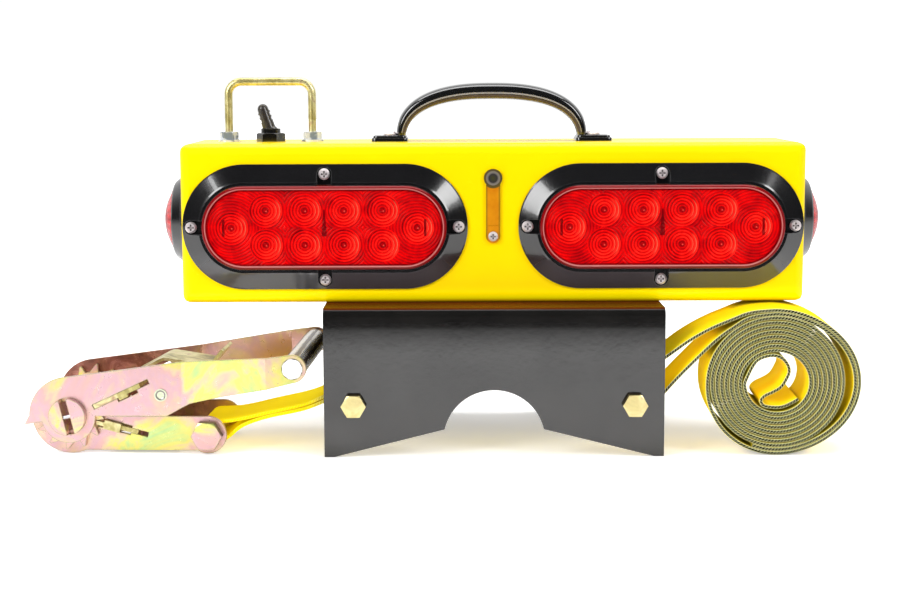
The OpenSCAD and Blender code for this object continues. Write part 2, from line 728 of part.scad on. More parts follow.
module switch_boot_nut() color(black) on_top(-switch_x) {
  collar_h = 3;
  difference() {
    union() {
      hex(boot_nut_af, boot_nut_h);
      translate([0, 0, boot_nut_h / 2]) cylinder(r = boot_ball_r + 1, h = boot_nut_h / 2 + collar_h);
    }
    translate([0, 0, -eps]) cylinder(r = bushing_bore_r, h = boot_nut_h);
    translate([0, 0, pivot_up]) sphere(boot_ball_r + part_gap);
    translate([0, 0, pivot_up]) cylinder(r = boot_ball_r + part_gap, h = collar_h + 1);
  }
}

module tilted_lever() on_top(-switch_x) translate([0, 0, pivot_up]) rotate([0, -lever_tilt, 0]) children();

module switch_boot() color(black) tilted_lever() {
  neck_r = boot_tip_r + 0.6;
  tip_h = boot_len - boot_tip_r;
  difference() {
    union() {
      sphere(boot_ball_r);
      cylinder(r1 = boot_ball_r - 1.1, r2 = neck_r, h = tip_h / 2);
      cylinder(r = neck_r - 0.5, h = tip_h);
      for (h = [0.62, 0.82]) translate([0, 0, h * tip_h]) cylinder(r = neck_r, h = 1.2);
      translate([0, 0, tip_h]) sphere(boot_tip_r);
    }
    translate([0, 0, -boot_ball_r - 1]) cylinder(r = lever_r + seat_gap, h = boot_ball_r + 1 + tip_h - 1);
    translate([0, 0, -boot_ball_r - 1]) cylinder(r = boot_ball_r, h = boot_ball_r - 2);
  }
}

module switch_lever() color(zinc) tilted_lever()
  translate([0, 0, -lever_below]) cylinder(r = lever_r, h = lever_below + boot_len - boot_tip_r - 2);

// Inside the housing
inside_floor = body_bottom + wall;
battery_size = [140, 44, 64];
battery_y = back - wall - 3 - battery_size[1] / 2;
clamp_w = 20;
clamp_t = 1.5;
board_x = body_w / 2 - 57.5;
board_size = [64, 44];
board_up = 9;
standoff_r = 2.5;
standoff_in = 4;
antenna_in = 10;
antenna_base_r = 3;
antenna_base_h = 6;
antenna_r = 1.2;
antenna_len = 60;

module battery_pack() color("dimgray") translate([0, battery_y, inside_floor]) {
  translate([0, 0, battery_size[2] / 2]) cube(battery_size, center = true);
  for (x = [-0.35, 0.35])
    translate([x * battery_size[0] - 3, -2, battery_size[2]]) cube([6, 4, 6]);
}

module battery_clamp() color(zinc) translate([0, battery_y, inside_floor]) {
  gap = part_gap;
  half = battery_size[1] / 2 + gap;
  rotate([90, 0, 90]) translate([0, 0, -clamp_w / 2]) linear_extrude(clamp_w) difference() {
    translate([-half - clamp_t, 0]) square([2 * (half + clamp_t), battery_size[2] + gap + clamp_t]);
    translate([-half, -1]) square([2 * half, battery_size[2] + gap + 1]);
  }
  translate([-clamp_w / 2, -half - 12, 0]) cube([clamp_w, 12, clamp_t]);
}

module receiver_board() color(board_green) translate([board_x, battery_y - 6, inside_floor]) {
  w = board_size[0];
  d = board_size[1];
  translate([0, 0, board_up]) linear_extrude(board_t) round_rect(w, d, 2);
  for (sx = [-1, 1], sy = [-1, 1])
    translate([sx * (w / 2 - standoff_in), sy * (d / 2 - standoff_in), 0]) cylinder(r = standoff_r, h = board_up);
  translate([-0.36 * w, -0.32 * d, board_up + board_t]) cube([0.32 * w, 0.36 * d, 0.5 * board_up]);
  translate([0.07 * w, -0.2 * d, board_up + board_t]) cube([0.18 * w, 0.26 * d, 0.25 * board_up]);
  translate([-0.4 * w, 0.2 * d, board_up + board_t]) cube([0.54 * w, 0.2 * d, 1.1 * board_up]);
}

module antenna() color(gold_zinc)
  translate([board_x + board_size[0] / 2 - antenna_in, battery_y - 6, inside_floor + board_up + board_t]) {
    cylinder(r = antenna_base_r, h = antenna_base_h);
    cylinder(r = antenna_r, h = antenna_len);
  }

// Saddle bracket, folded from one plate
module bracket_section() {
  half = bracket_d / 2;
  difference() {
    union() {
      translate([-half, 0]) square([bracket_d, bracket_h - fold_r]);
      translate([-half + fold_r, 0]) square([bracket_d - 2 * fold_r, bracket_h]);
      for (side = [-1, 1]) translate([side * (half - fold_r), bracket_h - fold_r]) circle(fold_r);
    }
    translate([-half + plate_t, -1]) square([bracket_d - 2 * plate_t, bracket_h - fold_r + 1]);
    translate([-half + fold_r, -1]) square([bracket_d - 2 * fold_r, bracket_h - plate_t + 1]);
    for (side = [-1, 1])
      translate([side * (half - fold_r), bracket_h - fold_r]) circle(fold_r - plate_t);
  }
}

module bracket_underside() {
  foot_in = bracket_w / 2 - bracket_foot;
  corner_up = arch_up + sqrt(pow(arch_r, 2) - pow(arch_corner_x, 2));
  polygon([[-foot_in, -1], [-foot_in, 0], [-arch_corner_x, corner_up], [arch_corner_x, corner_up],
    [foot_in, 0], [foot_in, -1]]);
  translate([0, arch_up]) circle(arch_r);
}

module saddle_bracket() color(black) on_ground() difference() {
  translate([-bracket_w / 2, 0, 0]) rotate([90, 0, 90]) linear_extrude(bracket_w) bracket_section();
  rotate([90, 0, 0]) linear_extrude(bracket_d + 2, center = true) bracket_underside();
  for (x = cross_places)
    translate([x, 0, cross_up]) rotate([90, 0, 0])
      cylinder(r = cross_r + 0.2, h = bracket_d + 2, center = true);
  for (p = mount_bolt_places)
    translate([p[0], p[1], bracket_h - 2 * plate_t]) cylinder(r = mount_bolt_r + part_gap, h = 3 * plate_t);
}

mount_af = 2 * mount_bolt_r * 1.75;
mount_nut_t = 5;

module bracket_bolts() color(zinc)
  for (p = mount_bolt_places)
    translate([p[0], p[1], body_bottom - plate_t]) {
      mirror([0, 0, 1]) hex(mount_af, mount_nut_t);
      cylinder(r = mount_bolt_r, h = plate_t + wall + mount_nut_t + thread_out);
    }

module bracket_nuts() color(zinc)
  for (p = mount_bolt_places)
    translate([p[0], p[1], inside_floor]) difference() {
      hex(mount_af, mount_nut_t);
      translate([0, 0, -1]) cylinder(r = mount_bolt_r + seat_gap, h = mount_nut_t + 2);
    }

module on_cross_bolt(x) on_ground() translate([x, -bracket_d / 2, cross_up]) rotate([90, 0, 0]) children();

cross_nut_t = 8;

module cross_bolts() color(gold_zinc)
  for (x = cross_places)
    on_cross_bolt(x) {
      length = bracket_d + cross_nut_t + thread_out;
      hex(cross_af, cross_head_t);
      translate([0, 0, -length]) cylinder(r = cross_r, h = length);
    }

module cross_bolt_sleeves() color(zinc)
  for (x = cross_places)
    on_ground() translate([x, 0, cross_up]) rotate([90, 0, 0]) difference() {
      cylinder(r = sleeve_r, h = bracket_d - 2 * plate_t, center = true);
      cylinder(r = cross_r + seat_gap, h = bracket_d, center = true);
    }

module cross_bolt_nuts() color(gold_zinc)
  for (x = cross_places)
    on_cross_bolt(x) translate([0, 0, -bracket_d - cross_nut_t]) mirror([0, 0, 1])
      translate([0, 0, -cross_nut_t]) difference() {
        hex(cross_af, cross_nut_t);
        translate([0, 0, -1]) cylinder(r = cross_r + seat_gap, h = cross_nut_t + 2);
      }

// The plane of the strap and ratchet: x along the strap, z above the ground
module in_strap_plane() translate([0, -strap_front, ground]) rotate([0, 0, -strap_yaw]) children();
module across(width) rotate([90, 0, 0]) linear_extrude(width, center = true) children();

// Route of the strap, seen from the front. Turns of the roll are counted clockwise from its top.
strap_gap = 0.12;
strap_pitch = strap_t + strap_gap;
roll_step = 10;
roll_oval = 1.15;
roll_bulge = 6.5;
roll_full = 270;
tail_stop = 200;
floor_r = roll_up - strap_t / 2 - 0.05;

function roll_point(a, r) = [roll_x + r * sin(a), roll_up + r * cos(a)];
function tight_r(a) = roll_r - roll_pitch * (a - roll_full) / 360 - roll_oval * pow(cos(a), 2);
function loose_r(a) =
  let (top = tight_r(360) + 2 * strap_pitch, side = tight_r(roll_full), u = (a - 180) / 90)
  a > roll_full ? tight_r(a)
  : a > 180 ? floor_r + (side - floor_r) * u * u
  : top + (floor_r - top) * a / 180 + roll_bulge * pow(sin(a), 3);
function tail_r(a) = loose_r(a) - strap_pitch - 0.3 * max(0, sin(a));

// A smooth curve through points, without its first and last
function smooth(points, parts) = [for (i = [1 : len(points) - 3], k = [0 : parts - 1])
  let (t = k / parts, a = points[i - 1], b = points[i], c = points[i + 1], d = points[i + 2])
  0.5 * (2 * b + (c - a) * t + (2 * a - 5 * b + 4 * c - d) * t * t + (3 * b - a - 3 * c + d) * t * t * t)];

loop_r = anchor_r + strap_t / 2 + 0.25;
loop_step = 15;
function loop_point(a) = [-anchor_x + loop_r * sin(a), anchor_up + loop_r * cos(a)];
under_bolt = cross_up - sleeve_r - part_gap - strap_t / 2;
over_bolt = cross_up + sleeve_r + part_gap + strap_t / 2;
lead_up = arch_up + arch_r + 3.5;

// Lower layer: from the roll's top, under the right bolt and over the left one to the anchor bolt
lower_run = [roll_point(roll_step, tail_r(roll_step)), roll_point(0, tail_r(0)),
  roll_point(-22, tail_r(0) + 1), [157, 84.4], [145, 75.1], [124.5, 54.5], [111, 39.6], [cross_x + 6, under_bolt + 1.4],
  [cross_x - 3, under_bolt - 0.4], [cross_x - 16, under_bolt + 4.1], [55, lead_up - 5.5], [33, lead_up + 0.4],
  [0, lead_up + 1], [-33, lead_up - 0.2], [-60, lead_up - 2.6], [-cross_x + 12, over_bolt + 0.9],
  [-cross_x, over_bolt + 0.5], [-cross_x - 7, over_bolt - 1.7], [-cross_x - 16, over_bolt - 6.3], [-125, 29.2],
  [-150, 23.6], [-166, 17.8], [-175, 10.8], [-182.2, 6.3], loop_point(180), loop_point(195)];

// Upper layer: from the anchor bolt over both bolts to the roll's top
upper_run = [loop_point(-15), loop_point(0), [-176, 20.7], [-164, 22.9], [-150, 26.3], [-125, 32.2], [-110, 38.5], [-100, 43.5],
  [-cross_x, over_bolt + strap_pitch + 0.5], [-cross_x + 13, over_bolt + 3.9], [-60, lead_up + 0.4],
  [-33, lead_up + 2.6], [0, lead_up + 4], [33, lead_up + 4.4], [64, lead_up + 3.6], [cross_x, 53.2],
  [111, 63.2], [128, 75.4], [142, 83.6], [156, 89.8], roll_point(-20, loose_r(0) + 1.5),
  roll_point(0, loose_r(0)), roll_point(roll_step, loose_r(roll_step))];

// Free end, which turns back in an S in the roll's eye
roll_end = roll_full + 360 * roll_turns;
eye_r = tight_r(roll_end);
eye = [roll_point(roll_end - roll_step, tight_r(roll_end - roll_step)), roll_point(roll_end, eye_r)];
free_end = [for (p = [[-13.1, 13.3], [-4.4, 17.3], [2.2, 16.3], [6.3, 12.2], [7.7, 7.7], [6.3, 3.2], [3, -2.2],
  [-1.9, -5.5], [-6.8, -7.9], [-9.3, -10.8], [-7.7, -14.1], [-1.9, -15.2], [4.2, -14.8], [10.4, -11.9],
  [13.5, -10]]) [roll_x, roll_up] + p * eye_r / 19.6];

strap_path = concat(
  [for (a = [tail_stop : -roll_step : roll_step]) roll_point(a, tail_r(a))],
  smooth(lower_run, 4),
  [for (a = [180 : loop_step : 345]) loop_point(a)],
  smooth(upper_run, 4),
  [for (a = [0 : roll_step : roll_end - 1]) roll_point(a, loose_r(a))],
  smooth(concat(eye, free_end, [free_end[14] + [2, 1]]), 3),
  [free_end[14]]);

// The band that follows a path, half of it to each side
function path_side(path, offset) = [for (i = [0 : len(path) - 1])
  let (
    along = path[min(i + 1, len(path) - 1)] - path[max(i - 1, 0)],
    n = [along[1], -along[0]] / norm(along))
  path[i] + n * offset];
module band(path, thickness)
  polygon(concat(path_side(path, thickness / 2),
    [for (i = [len(path) - 1 : -1 : 0]) path_side(path, -thickness / 2)[i]]));

module strap() color("yellow") in_strap_plane() across(strap_w) band(strap_path, strap_t);

// Ratchet layers, counted outwards from the middle
frame_out = frame_in + 2 * ratchet_t;
layer_gap = 0.5;
wheel_in = frame_out + 2 * layer_gap;
wheel_out = wheel_in + 2 * wheel_t;
handle_in = wheel_out + 2 * layer_gap;
handle_out = handle_in + 2 * ratchet_t;
axle = [-axle_x, axle_up];
anchor = [-anchor_x, anchor_up];
grip = [-grip_x, grip_up];
hole_r = axle_r + run_gap;
clear_r = axle_up + 1;

module at(p) translate([p[0], 0, p[1]]) children();
module both_sides() { children(); mirror([0, 1, 0]) children(); }
module plate_pair(inner, thickness)
  for (side = [-1, 1]) translate([0, side * (inner + thickness) / 2, 0]) across(thickness) children();
module along_pawl(angle) translate(axle) rotate(angle) children();
module along_handle_pawl() along_pawl(handle_pawl_angle) translate([0, -handle_pawl_drop]) children();

// Frame pawl sizes, as distances from the axle
pawl_tip_r = tooth_root_r + 1;
pawl_tip_t = 2.6;
pawl_root_r = tooth_tip_r + 0.7;
frame_neck_r = tooth_root_r - 1;
head_cut = 11;
frame_pawl_mid = 35;
frame_pawl_end = 46.5;
frame_tail_t = 3;
slot_play = 0.2;
window_w = 11;
frame_window = [29.5, 43.5];
handle_window = [30, 50];
handle_pawl_drop = 1.6;
spring_coil_r = 2.7;
spring_wire_r = 0.45;
spring_turns = 6;
tongue_t = 2.4;

module frame_plate_outline() difference() {
  union() {
    translate(axle) {
      circle(frame_neck_r);
      intersection() {
        circle(axle_up);
        rotate(head_cut) translate([-axle_up, -2 * axle_up]) square(2 * axle_up);
      }
    }
    translate(anchor) circle(anchor_up);
    translate([-axle_x, 2]) square([axle_x - anchor_x, 2 * anchor_up - 2.1]);
  }
  translate(axle) circle(hole_r);
  translate(anchor) circle(anchor_r + seat_gap);
  along_pawl(-frame_pawl_angle) {
    translate([pawl_root_r - 4, -frame_pawl_t / 2 - slot_play])
      square([frame_pawl_mid + pawl_travel + 1 - pawl_root_r + 4, frame_pawl_t + 2 * slot_play]);
    translate([pawl_root_r, -frame_tail_t / 2 - slot_play])
      square([frame_pawl_end + pawl_travel + 1 - pawl_root_r, frame_tail_t + 2 * slot_play]);
  }
}

web_x = [-250, -209];
web_t = ratchet_t;
web_up = 2;

module ratchet_frame() color(chromate) in_strap_plane() {
  plate_pair(frame_in, ratchet_t) frame_plate_outline();
  across(frame_in + ratchet_t) translate([web_x[0], web_up]) square([web_x[1] - web_x[0], web_t]);
  across(window_w - 3) intersection() {
    along_pawl(-frame_pawl_angle) translate([frame_window[1] - tongue_t, -12]) square([tongue_t, 14]);
    translate([web_x[0], web_up + web_t / 2]) square([web_x[1] - web_x[0], 20]);
  }
}

module frame_pawl() color(gold_zinc) in_strap_plane() difference() {
  union() {
    across(wheel_out - 0.2) along_pawl(-frame_pawl_angle)
      translate([pawl_root_r, -frame_pawl_t / 2]) square([frame_pawl_mid - pawl_root_r, frame_pawl_t]);
    across(frame_out) along_pawl(-frame_pawl_angle)
      translate([pawl_root_r, -frame_tail_t / 2]) square([frame_pawl_end - pawl_root_r, frame_tail_t]);
    plate_pair(wheel_in, wheel_t - 0.1) along_pawl(-frame_pawl_angle)
      translate([pawl_tip_r, -pawl_tip_t / 2]) square([pawl_root_r - pawl_tip_r + 1, pawl_tip_t]);
  }
  across(window_w) along_pawl(-frame_pawl_angle)
    translate([frame_window[0], -frame_pawl_t]) square([frame_window[1] - frame_window[0] + 1, 2 * frame_pawl_t]);
}

// A coil spring lying along a pawl between two distances from the axle
module pawl_spring(angle, from, to, drop = 0) {
  rings = 12 * spring_turns;
  sides = 6;
  lift = (to - from - 2 * spring_wire_r) / rings;
  at(axle) rotate([0, -angle, 0]) translate([from + spring_wire_r, 0, -drop]) rotate([0, 90, 0])
    loft([for (i = [0 : rings])
      let (a = 360 * spring_turns * i / rings)
      [for (k = [0 : sides - 1])
        let (b = 360 * k / sides, r = spring_coil_r + spring_wire_r * cos(b))
        [r * cos(a), r * sin(a), lift * i + spring_wire_r * sin(b)]]]);
}

module frame_pawl_spring() color(zinc) in_strap_plane()
  pawl_spring(-frame_pawl_angle, frame_window[0] + 0.1, frame_window[1] - tongue_t - 0.1);

// Reel: two wheels on a split axle, held by a split pin at each end
tooth_count = 12;
tooth_turn = 360 / tooth_count;
tooth_points = [for (i = [0 : tooth_count - 1])
  for (p = [[-5, tooth_root_r], [5, tooth_root_r], [8, tooth_tip_r], [11, tooth_tip_r]])
    let (a = i * tooth_turn + p[0] - frame_pawl_angle) p[1] * [cos(a), sin(a)]];
// How far the reel's slot leans to the left of upright
axle_turn = 13;
key_w = axle_slot - 0.4;
key_h = 2.4;

module ratchet_wheels() color(gold_zinc) in_strap_plane()
  plate_pair(wheel_in, wheel_t) translate(axle) {
    difference() {
      polygon(tooth_points);
      circle(axle_r + seat_gap);
    }
    for (side = [0, 180]) rotate(axle_turn + side)
      translate([-key_w / 2, axle_r - key_h]) square([key_w, key_h + 0.6]);
  }

module axle_halves() color(gold_zinc) in_strap_plane() difference() {
  across(handle_out + 2 * axle_out) translate(axle) for (side = [0, 180])
    rotate(axle_turn + side) intersection() {
      circle(axle_r);
      translate([axle_slot / 2, -axle_r]) square([axle_r, 2 * axle_r]);
    }
  axle_pin_shape(pin_r + seat_gap);
}

pin_r = 1.3;
axle_out = 4.5;
module axle_pin_shape(r) both_sides()
  at(axle) translate([0, handle_out / 2 + axle_out / 2, 0]) rotate([0, 90 - axle_turn, 0])
    cylinder(r = r, h = 2 * axle_r - 1, center = true);
module axle_pins() color(zinc) in_strap_plane() axle_pin_shape(pin_r);

// Handle
reach = grip[0] - axle[0];
flare_from = axle[0] + 0.497 * reach;
flare_to = axle[0] + 0.888 * reach;
handle_tail_r = grip_r + 1;
handle_neck_r = 18;
handle_notch = [35, 49.5];
handle_notch_drop = 5.6;
// The arm's corners, as shares of the reach along and of the grip's height up
arm_top = [[0.497, 1], [0.888, 1.109]];
arm_bottom = [[0.888, 0.784], [0.679, 0.664], [0.536, 0.565], [0.43, 0.42], [0.287, 0.42]];
function arm(points) = [for (q = points) [axle[0] + q[0] * reach, q[1] * grip_up]];

module handle_outline() difference() {
  union() {
    translate(axle) {
      circle(handle_neck_r);
      intersection() {
        circle(axle_up);
        rotate(head_cut) translate([-axle_up, 0]) square(2 * axle_up);
      }
      rotate(head_cut) polygon([[-handle_neck_r + 1, -0.5], [-axle_up - 3.8, 0], [-axle_up + 0.2, 5], [-handle_neck_r, 5]]);
    }
    polygon(concat([axle + [-3, axle_up - 0.2]], arm(arm_top), [grip + [-1, handle_tail_r - 0.1],
      grip + [1, -handle_tail_r + 0.1]], arm(arm_bottom), [axle + [10, 0]]));
    translate(grip) circle(handle_tail_r);
  }
  translate(axle) circle(hole_r);
  translate(grip) circle(grip_bore_r + 1.6 + seat_gap);
  translate(rivet) circle(rivet_r + seat_gap);
  along_handle_pawl() {
    translate([pawl_nose_r - 0.5, -handle_pawl_t / 2 - slot_play])
      square([handle_pawl_end + pawl_travel + 1 - pawl_nose_r, handle_pawl_t + 2 * slot_play]);
    translate([handle_notch[0], handle_pawl_drop - handle_notch_drop])
      square([handle_notch[1] - handle_notch[0], handle_notch_drop - handle_pawl_drop]);
  }
}

rivet = [-217.8, 40.5];
rivet_r = 2.6;
rivet_head_r = 4.2;
pawl_ear_r = tooth_tip_r + 1.3;
pawl_nose_r = 18.4;
handle_pawl_end = 52.5;
handle_web = [45, 59];
handle_web_drop = 6;

module handle_plate() {
  near = handle_in / 2;
  far = near + handle_flare;
  tail = -grip_x + 2 * handle_tail_r;
  head = -axle_x - 2 * axle_up;
  intersection() {
    across(4 * far) handle_outline();
    linear_extrude(2 * grip_up)
      polygon([[head, near], [flare_from, near], [flare_to, far], [tail, far], [tail, far + ratchet_t],
        [flare_to, far + ratchet_t], [flare_from, near + ratchet_t], [head, near + ratchet_t]]);
  }
}

module ratchet_handle() color(chromate) in_strap_plane() {
  both_sides() handle_plate();
  across(handle_in + ratchet_t) along_handle_pawl()
    translate([handle_web[0], -handle_web_drop - web_t]) square([handle_web[1] - handle_web[0], web_t]);
  across(window_w - 3) along_handle_pawl()
    translate([handle_web[0], -handle_web_drop - web_t / 2])
      square([tongue_t, handle_web_drop + web_t / 2 + handle_pawl_t / 2]);
}

module grip_tube() color(zinc) in_strap_plane() at(grip) rotate([90, 0, 0]) difference() {
  inside = handle_in + 2 * handle_flare;
  union() {
    cylinder(r = grip_r, h = inside, center = true);
    cylinder(r = grip_bore_r + 1.6, h = inside + 2 * ratchet_t + 0.8, center = true);
  }
  cylinder(r = grip_bore_r, h = 2 * inside, center = true);
}

module handle_rivet() color(zinc) in_strap_plane() at(rivet) rotate([90, 0, 0]) {
  cylinder(r = rivet_r, h = handle_out, center = true);
  cylinder(r = rivet_r + 1, h = handle_in, center = true);
  both_ends = [-1, 1];
  for (side = both_ends) translate([0, 0, side * (handle_out / 2 + 0.5)])
    cylinder(r = rivet_head_r, h = 1, center = true);
}

// The pull, a bent plate behind the pawl: its side view, along the pawl and up from it
pull_t = 2;
pull_w = 36;
pull_bend = [[45, 6.9], [56, 7.5], [66, 8.1], [69.2, 8], [71.2, 7], [93.6, -8.1], [95.2, -9],
  [96.8, -8.8], [107.9, -3.4]];

module handle_pawl() color(gold_zinc) in_strap_plane() difference() {
  union() {
    across(handle_in - 0.4) along_handle_pawl()
      translate([clear_r, -handle_pawl_t / 2]) square([handle_pawl_end - clear_r, handle_pawl_t]);
    plate_pair(frame_out + 0.6, (handle_out - frame_out - 0.6) / 2) along_handle_pawl()
      translate([pawl_ear_r, -handle_pawl_t / 2]) square([handle_pawl_end - pawl_ear_r, handle_pawl_t]);
    plate_pair(handle_in + 0.2, ratchet_t - 0.1) along_handle_pawl() {
      translate([pawl_nose_r, -handle_pawl_t / 2]) square([pawl_ear_r - pawl_nose_r + 1, handle_pawl_t]);
      translate([handle_notch[0] + 1, handle_pawl_drop - handle_notch_drop + 0.6])
        square([handle_notch[1] - handle_notch[0] - pawl_travel - 2, handle_notch_drop - handle_pawl_drop]);
    }
    across(pull_w) along_handle_pawl() {
      band(pull_bend, pull_t);
      translate([handle_window[1], 0]) square([handle_pawl_end - handle_window[1], pull_bend[0][1]]);
    }
  }
  across(window_w) along_handle_pawl()
    translate([handle_window[0], -handle_pawl_t])
      square([handle_window[1] - handle_window[0], 2 * handle_pawl_t]);
}

module handle_pawl_spring() color(zinc) in_strap_plane()
  pawl_spring(handle_pawl_angle, handle_window[0] + 0.1, handle_web[0] - 0.1, handle_pawl_drop);

// Anchor bolt
anchor_head_t = 6.5;
anchor_nut_t = 7;

module anchor_bolt() color(chromate) in_strap_plane() at(anchor) rotate([90, 0, 0]) {
  length = frame_out + anchor_nut_t + thread_out;
  translate([0, 0, frame_out / 2]) hex(anchor_af, anchor_head_t);
  translate([0, 0, frame_out / 2 - length]) cylinder(r = anchor_r, h = length);
}

module anchor_nut() color(zinc) in_strap_plane() at(anchor) rotate([-90, 0, 0])
  translate([0, 0, frame_out / 2]) difference() {
    hex(anchor_af, anchor_nut_t);
    translate([0, 0, -1]) cylinder(r = anchor_r + seat_gap, h = anchor_nut_t + 2);
  }

housing();
back_cover_gasket();
back_cover();
back_cover_screws();
oval_lamp_flange(-1);  // oval_lamp_flange_left
oval_lamp_flange(1);  // oval_lamp_flange_right
oval_lens(-1);  // oval_lens_left
oval_lens(1);  // oval_lens_right
oval_led_board(-1);  // oval_led_board_left
oval_led_board(1);  // oval_led_board_right
oval_lamp_base(-1);  // oval_lamp_base_left
oval_lamp_base(1);  // oval_lamp_base_right
flange_screws(-1);  // flange_screws_left
flange_screws(1);  // flange_screws_right
marker_flange(-1);  // marker_flange_left
marker_flange(1);  // marker_flange_right
marker_lens(-1);  // marker_lens_left
marker_lens(1);  // marker_lens_right
marker_base(-1);  // marker_base_left
marker_base(1);  // marker_base_right
charge_jack();
port_flap();
port_flap_root();
port_flap_screw();
carry_handle();
handle_screws();
guard_hoop();
guard_nuts();
guard_washers();
switch_body();
switch_boot_nut();
switch_boot();
switch_lever();
battery_pack();
battery_clamp();
receiver_board();
antenna();
saddle_bracket();
bracket_bolts();
bracket_nuts();
cross_bolts();
cross_bolt_sleeves();
cross_bolt_nuts();
strap();
ratchet_frame();
anchor_bolt();
anchor_nut();
ratchet_wheels();
axle_halves();
axle_pins();
frame_pawl();
frame_pawl_spring();
ratchet_handle();
grip_tube();
handle_rivet();
handle_pawl();
handle_pawl_spring();
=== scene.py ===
import math

import bmesh
import bpy
from mathutils import Matrix, Vector


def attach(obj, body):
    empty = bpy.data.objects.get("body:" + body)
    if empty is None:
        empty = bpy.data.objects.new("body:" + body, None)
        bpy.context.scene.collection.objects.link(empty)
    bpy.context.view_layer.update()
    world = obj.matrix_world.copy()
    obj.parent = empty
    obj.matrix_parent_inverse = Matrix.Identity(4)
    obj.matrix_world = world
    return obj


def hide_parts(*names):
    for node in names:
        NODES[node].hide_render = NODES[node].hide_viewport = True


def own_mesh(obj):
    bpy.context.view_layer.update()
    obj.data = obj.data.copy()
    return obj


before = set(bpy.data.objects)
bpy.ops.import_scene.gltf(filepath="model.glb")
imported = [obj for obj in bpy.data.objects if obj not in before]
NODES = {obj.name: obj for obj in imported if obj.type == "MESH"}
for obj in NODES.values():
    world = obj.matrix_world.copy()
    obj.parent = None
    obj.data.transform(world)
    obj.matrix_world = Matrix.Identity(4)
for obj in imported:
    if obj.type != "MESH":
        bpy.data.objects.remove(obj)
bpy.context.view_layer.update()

MM = 0.001
TO_MM = 1000.0

# places in millimetres; the saddle arch's axis is the origin
GROUND = -11.0
BODY_BOTTOM = 87.0
TOP = 193.0  # of the housing
STRAP_Y = -40.0  # the strap's middle
STRAP_YAW = 2.5  # degrees that roll, strap and ratchet are turned off the bar


# nodes
class Tree:
    """A node tree with short calls for the nodes that are used here."""

    def __init__(self, tree):
        self.tree = tree

    def new(self, kind, **settings):
        node = self.tree.nodes.new(kind)
        for key, value in settings.items():
            setattr(node, key, value)
        return node

    def output(self, node, key=0):
        return Val(self, node.outputs[key])

    def put(self, socket, value):
        """Link a Val to the socket, or set a plain value on it."""
        if isinstance(value, Val):
            self.tree.links.new(value.socket, socket)
        else:
            socket.default_value = value

    def math(self, kind, a, b=0.0):
        node = self.new("ShaderNodeMath", operation=kind)
        self.put(node.inputs[0], a)
        self.put(node.inputs[1], b)
        return self.output(node)

    def mix(self, share, a, b, how="MIX"):
        """A colour between a and b."""
        node = self.new("ShaderNodeMix", data_type="RGBA", blend_type=how)
        for i, value in ((0, share), (6, a), (7, b)):
            self.put(node.inputs[i], value)
        return self.output(node, 2)

    def blend(self, share, a, b):
        """A number between a and b."""
        node = self.new("ShaderNodeMix")
        for i, value in ((0, share), (2, a), (3, b)):
            self.put(node.inputs[i], value)
        return self.output(node)

    def split(self, vector):
        node = self.new("ShaderNodeSeparateXYZ")
        self.put(node.inputs[0], vector)
        return [Val(self, part) for part in node.outputs]


class Val:
    """A node's output with arithmetic, for patterns drawn by position."""

    def __init__(self, tree, socket):
        self.tree = tree
        self.socket = socket

    def op(self, kind, other=0.0):
        return self.tree.math(kind, self, other)

    def __add__(self, other):
        return self.op("ADD", other)

    def __sub__(self, other):
        return self.op("SUBTRACT", other)

    def __mul__(self, other):
        return self.op("MULTIPLY", other)

    def __truediv__(self, other):
        return self.op("DIVIDE", other)

    def abs(self):
        return self.op("ABSOLUTE")

    def sign(self):
        return self.op("SIGN")

    def fract(self):
        return self.op("FRACT")

    def sin(self):
        return self.op("SINE")

    def wave(self):
        """A sine of this angle between 0 and 1."""
        return self.sin() * 0.5 + 0.5

    def lt(self, other):
        return self.op("LESS_THAN", other)

    def gt(self, other):
        return self.op("GREATER_THAN", other)

    def near(self, at, within):
        """1 within the distance from a value, 0 elsewhere."""
        return (self - at).abs().lt(within)

    def max(self, other):
        return self.op("MAXIMUM", other)

    def min(self, other):
        return self.op("MINIMUM", other)

    def sq(self):
        return self * self

    def sqrt(self):
        return self.op("SQRT")

    def flip(self):
        """1 minus this, for a share between 0 and 1."""
        return (self - 1.0).abs()

    def span(self, low, high, start=0.0, end=1.0, how="LINEAR"):
        """From start at low to end at high, and held beyond them."""
        node = self.tree.new("ShaderNodeMapRange", interpolation_type=how)
        self.tree.put(node.inputs["Value"], self)
        for key, value in (("From Min", low), ("From Max", high), ("To Min", start), ("To Max", end)):
            self.tree.put(node.inputs[key], value)
        return self.tree.output(node)

    def ease(self, low, high):
        """0 below low, 1 above high, smooth between."""
        return self.span(low, high, how="SMOOTHSTEP")


INPUTS = {
    "color": "Base Color",
    "rough": "Roughness",
    "metal": "Metallic",
    "ior": "IOR",
    "spec": "Specular IOR Level",
    "spec_tint": "Specular Tint",
    "aniso": "Anisotropic",
    "coat": "Coat Weight",
    "coat_rough": "Coat Roughness",
    "coat_ior": "Coat IOR",
    "trans": "Transmission Weight",
    "emit": "Emission Color",
    "glow": "Emission Strength",
}


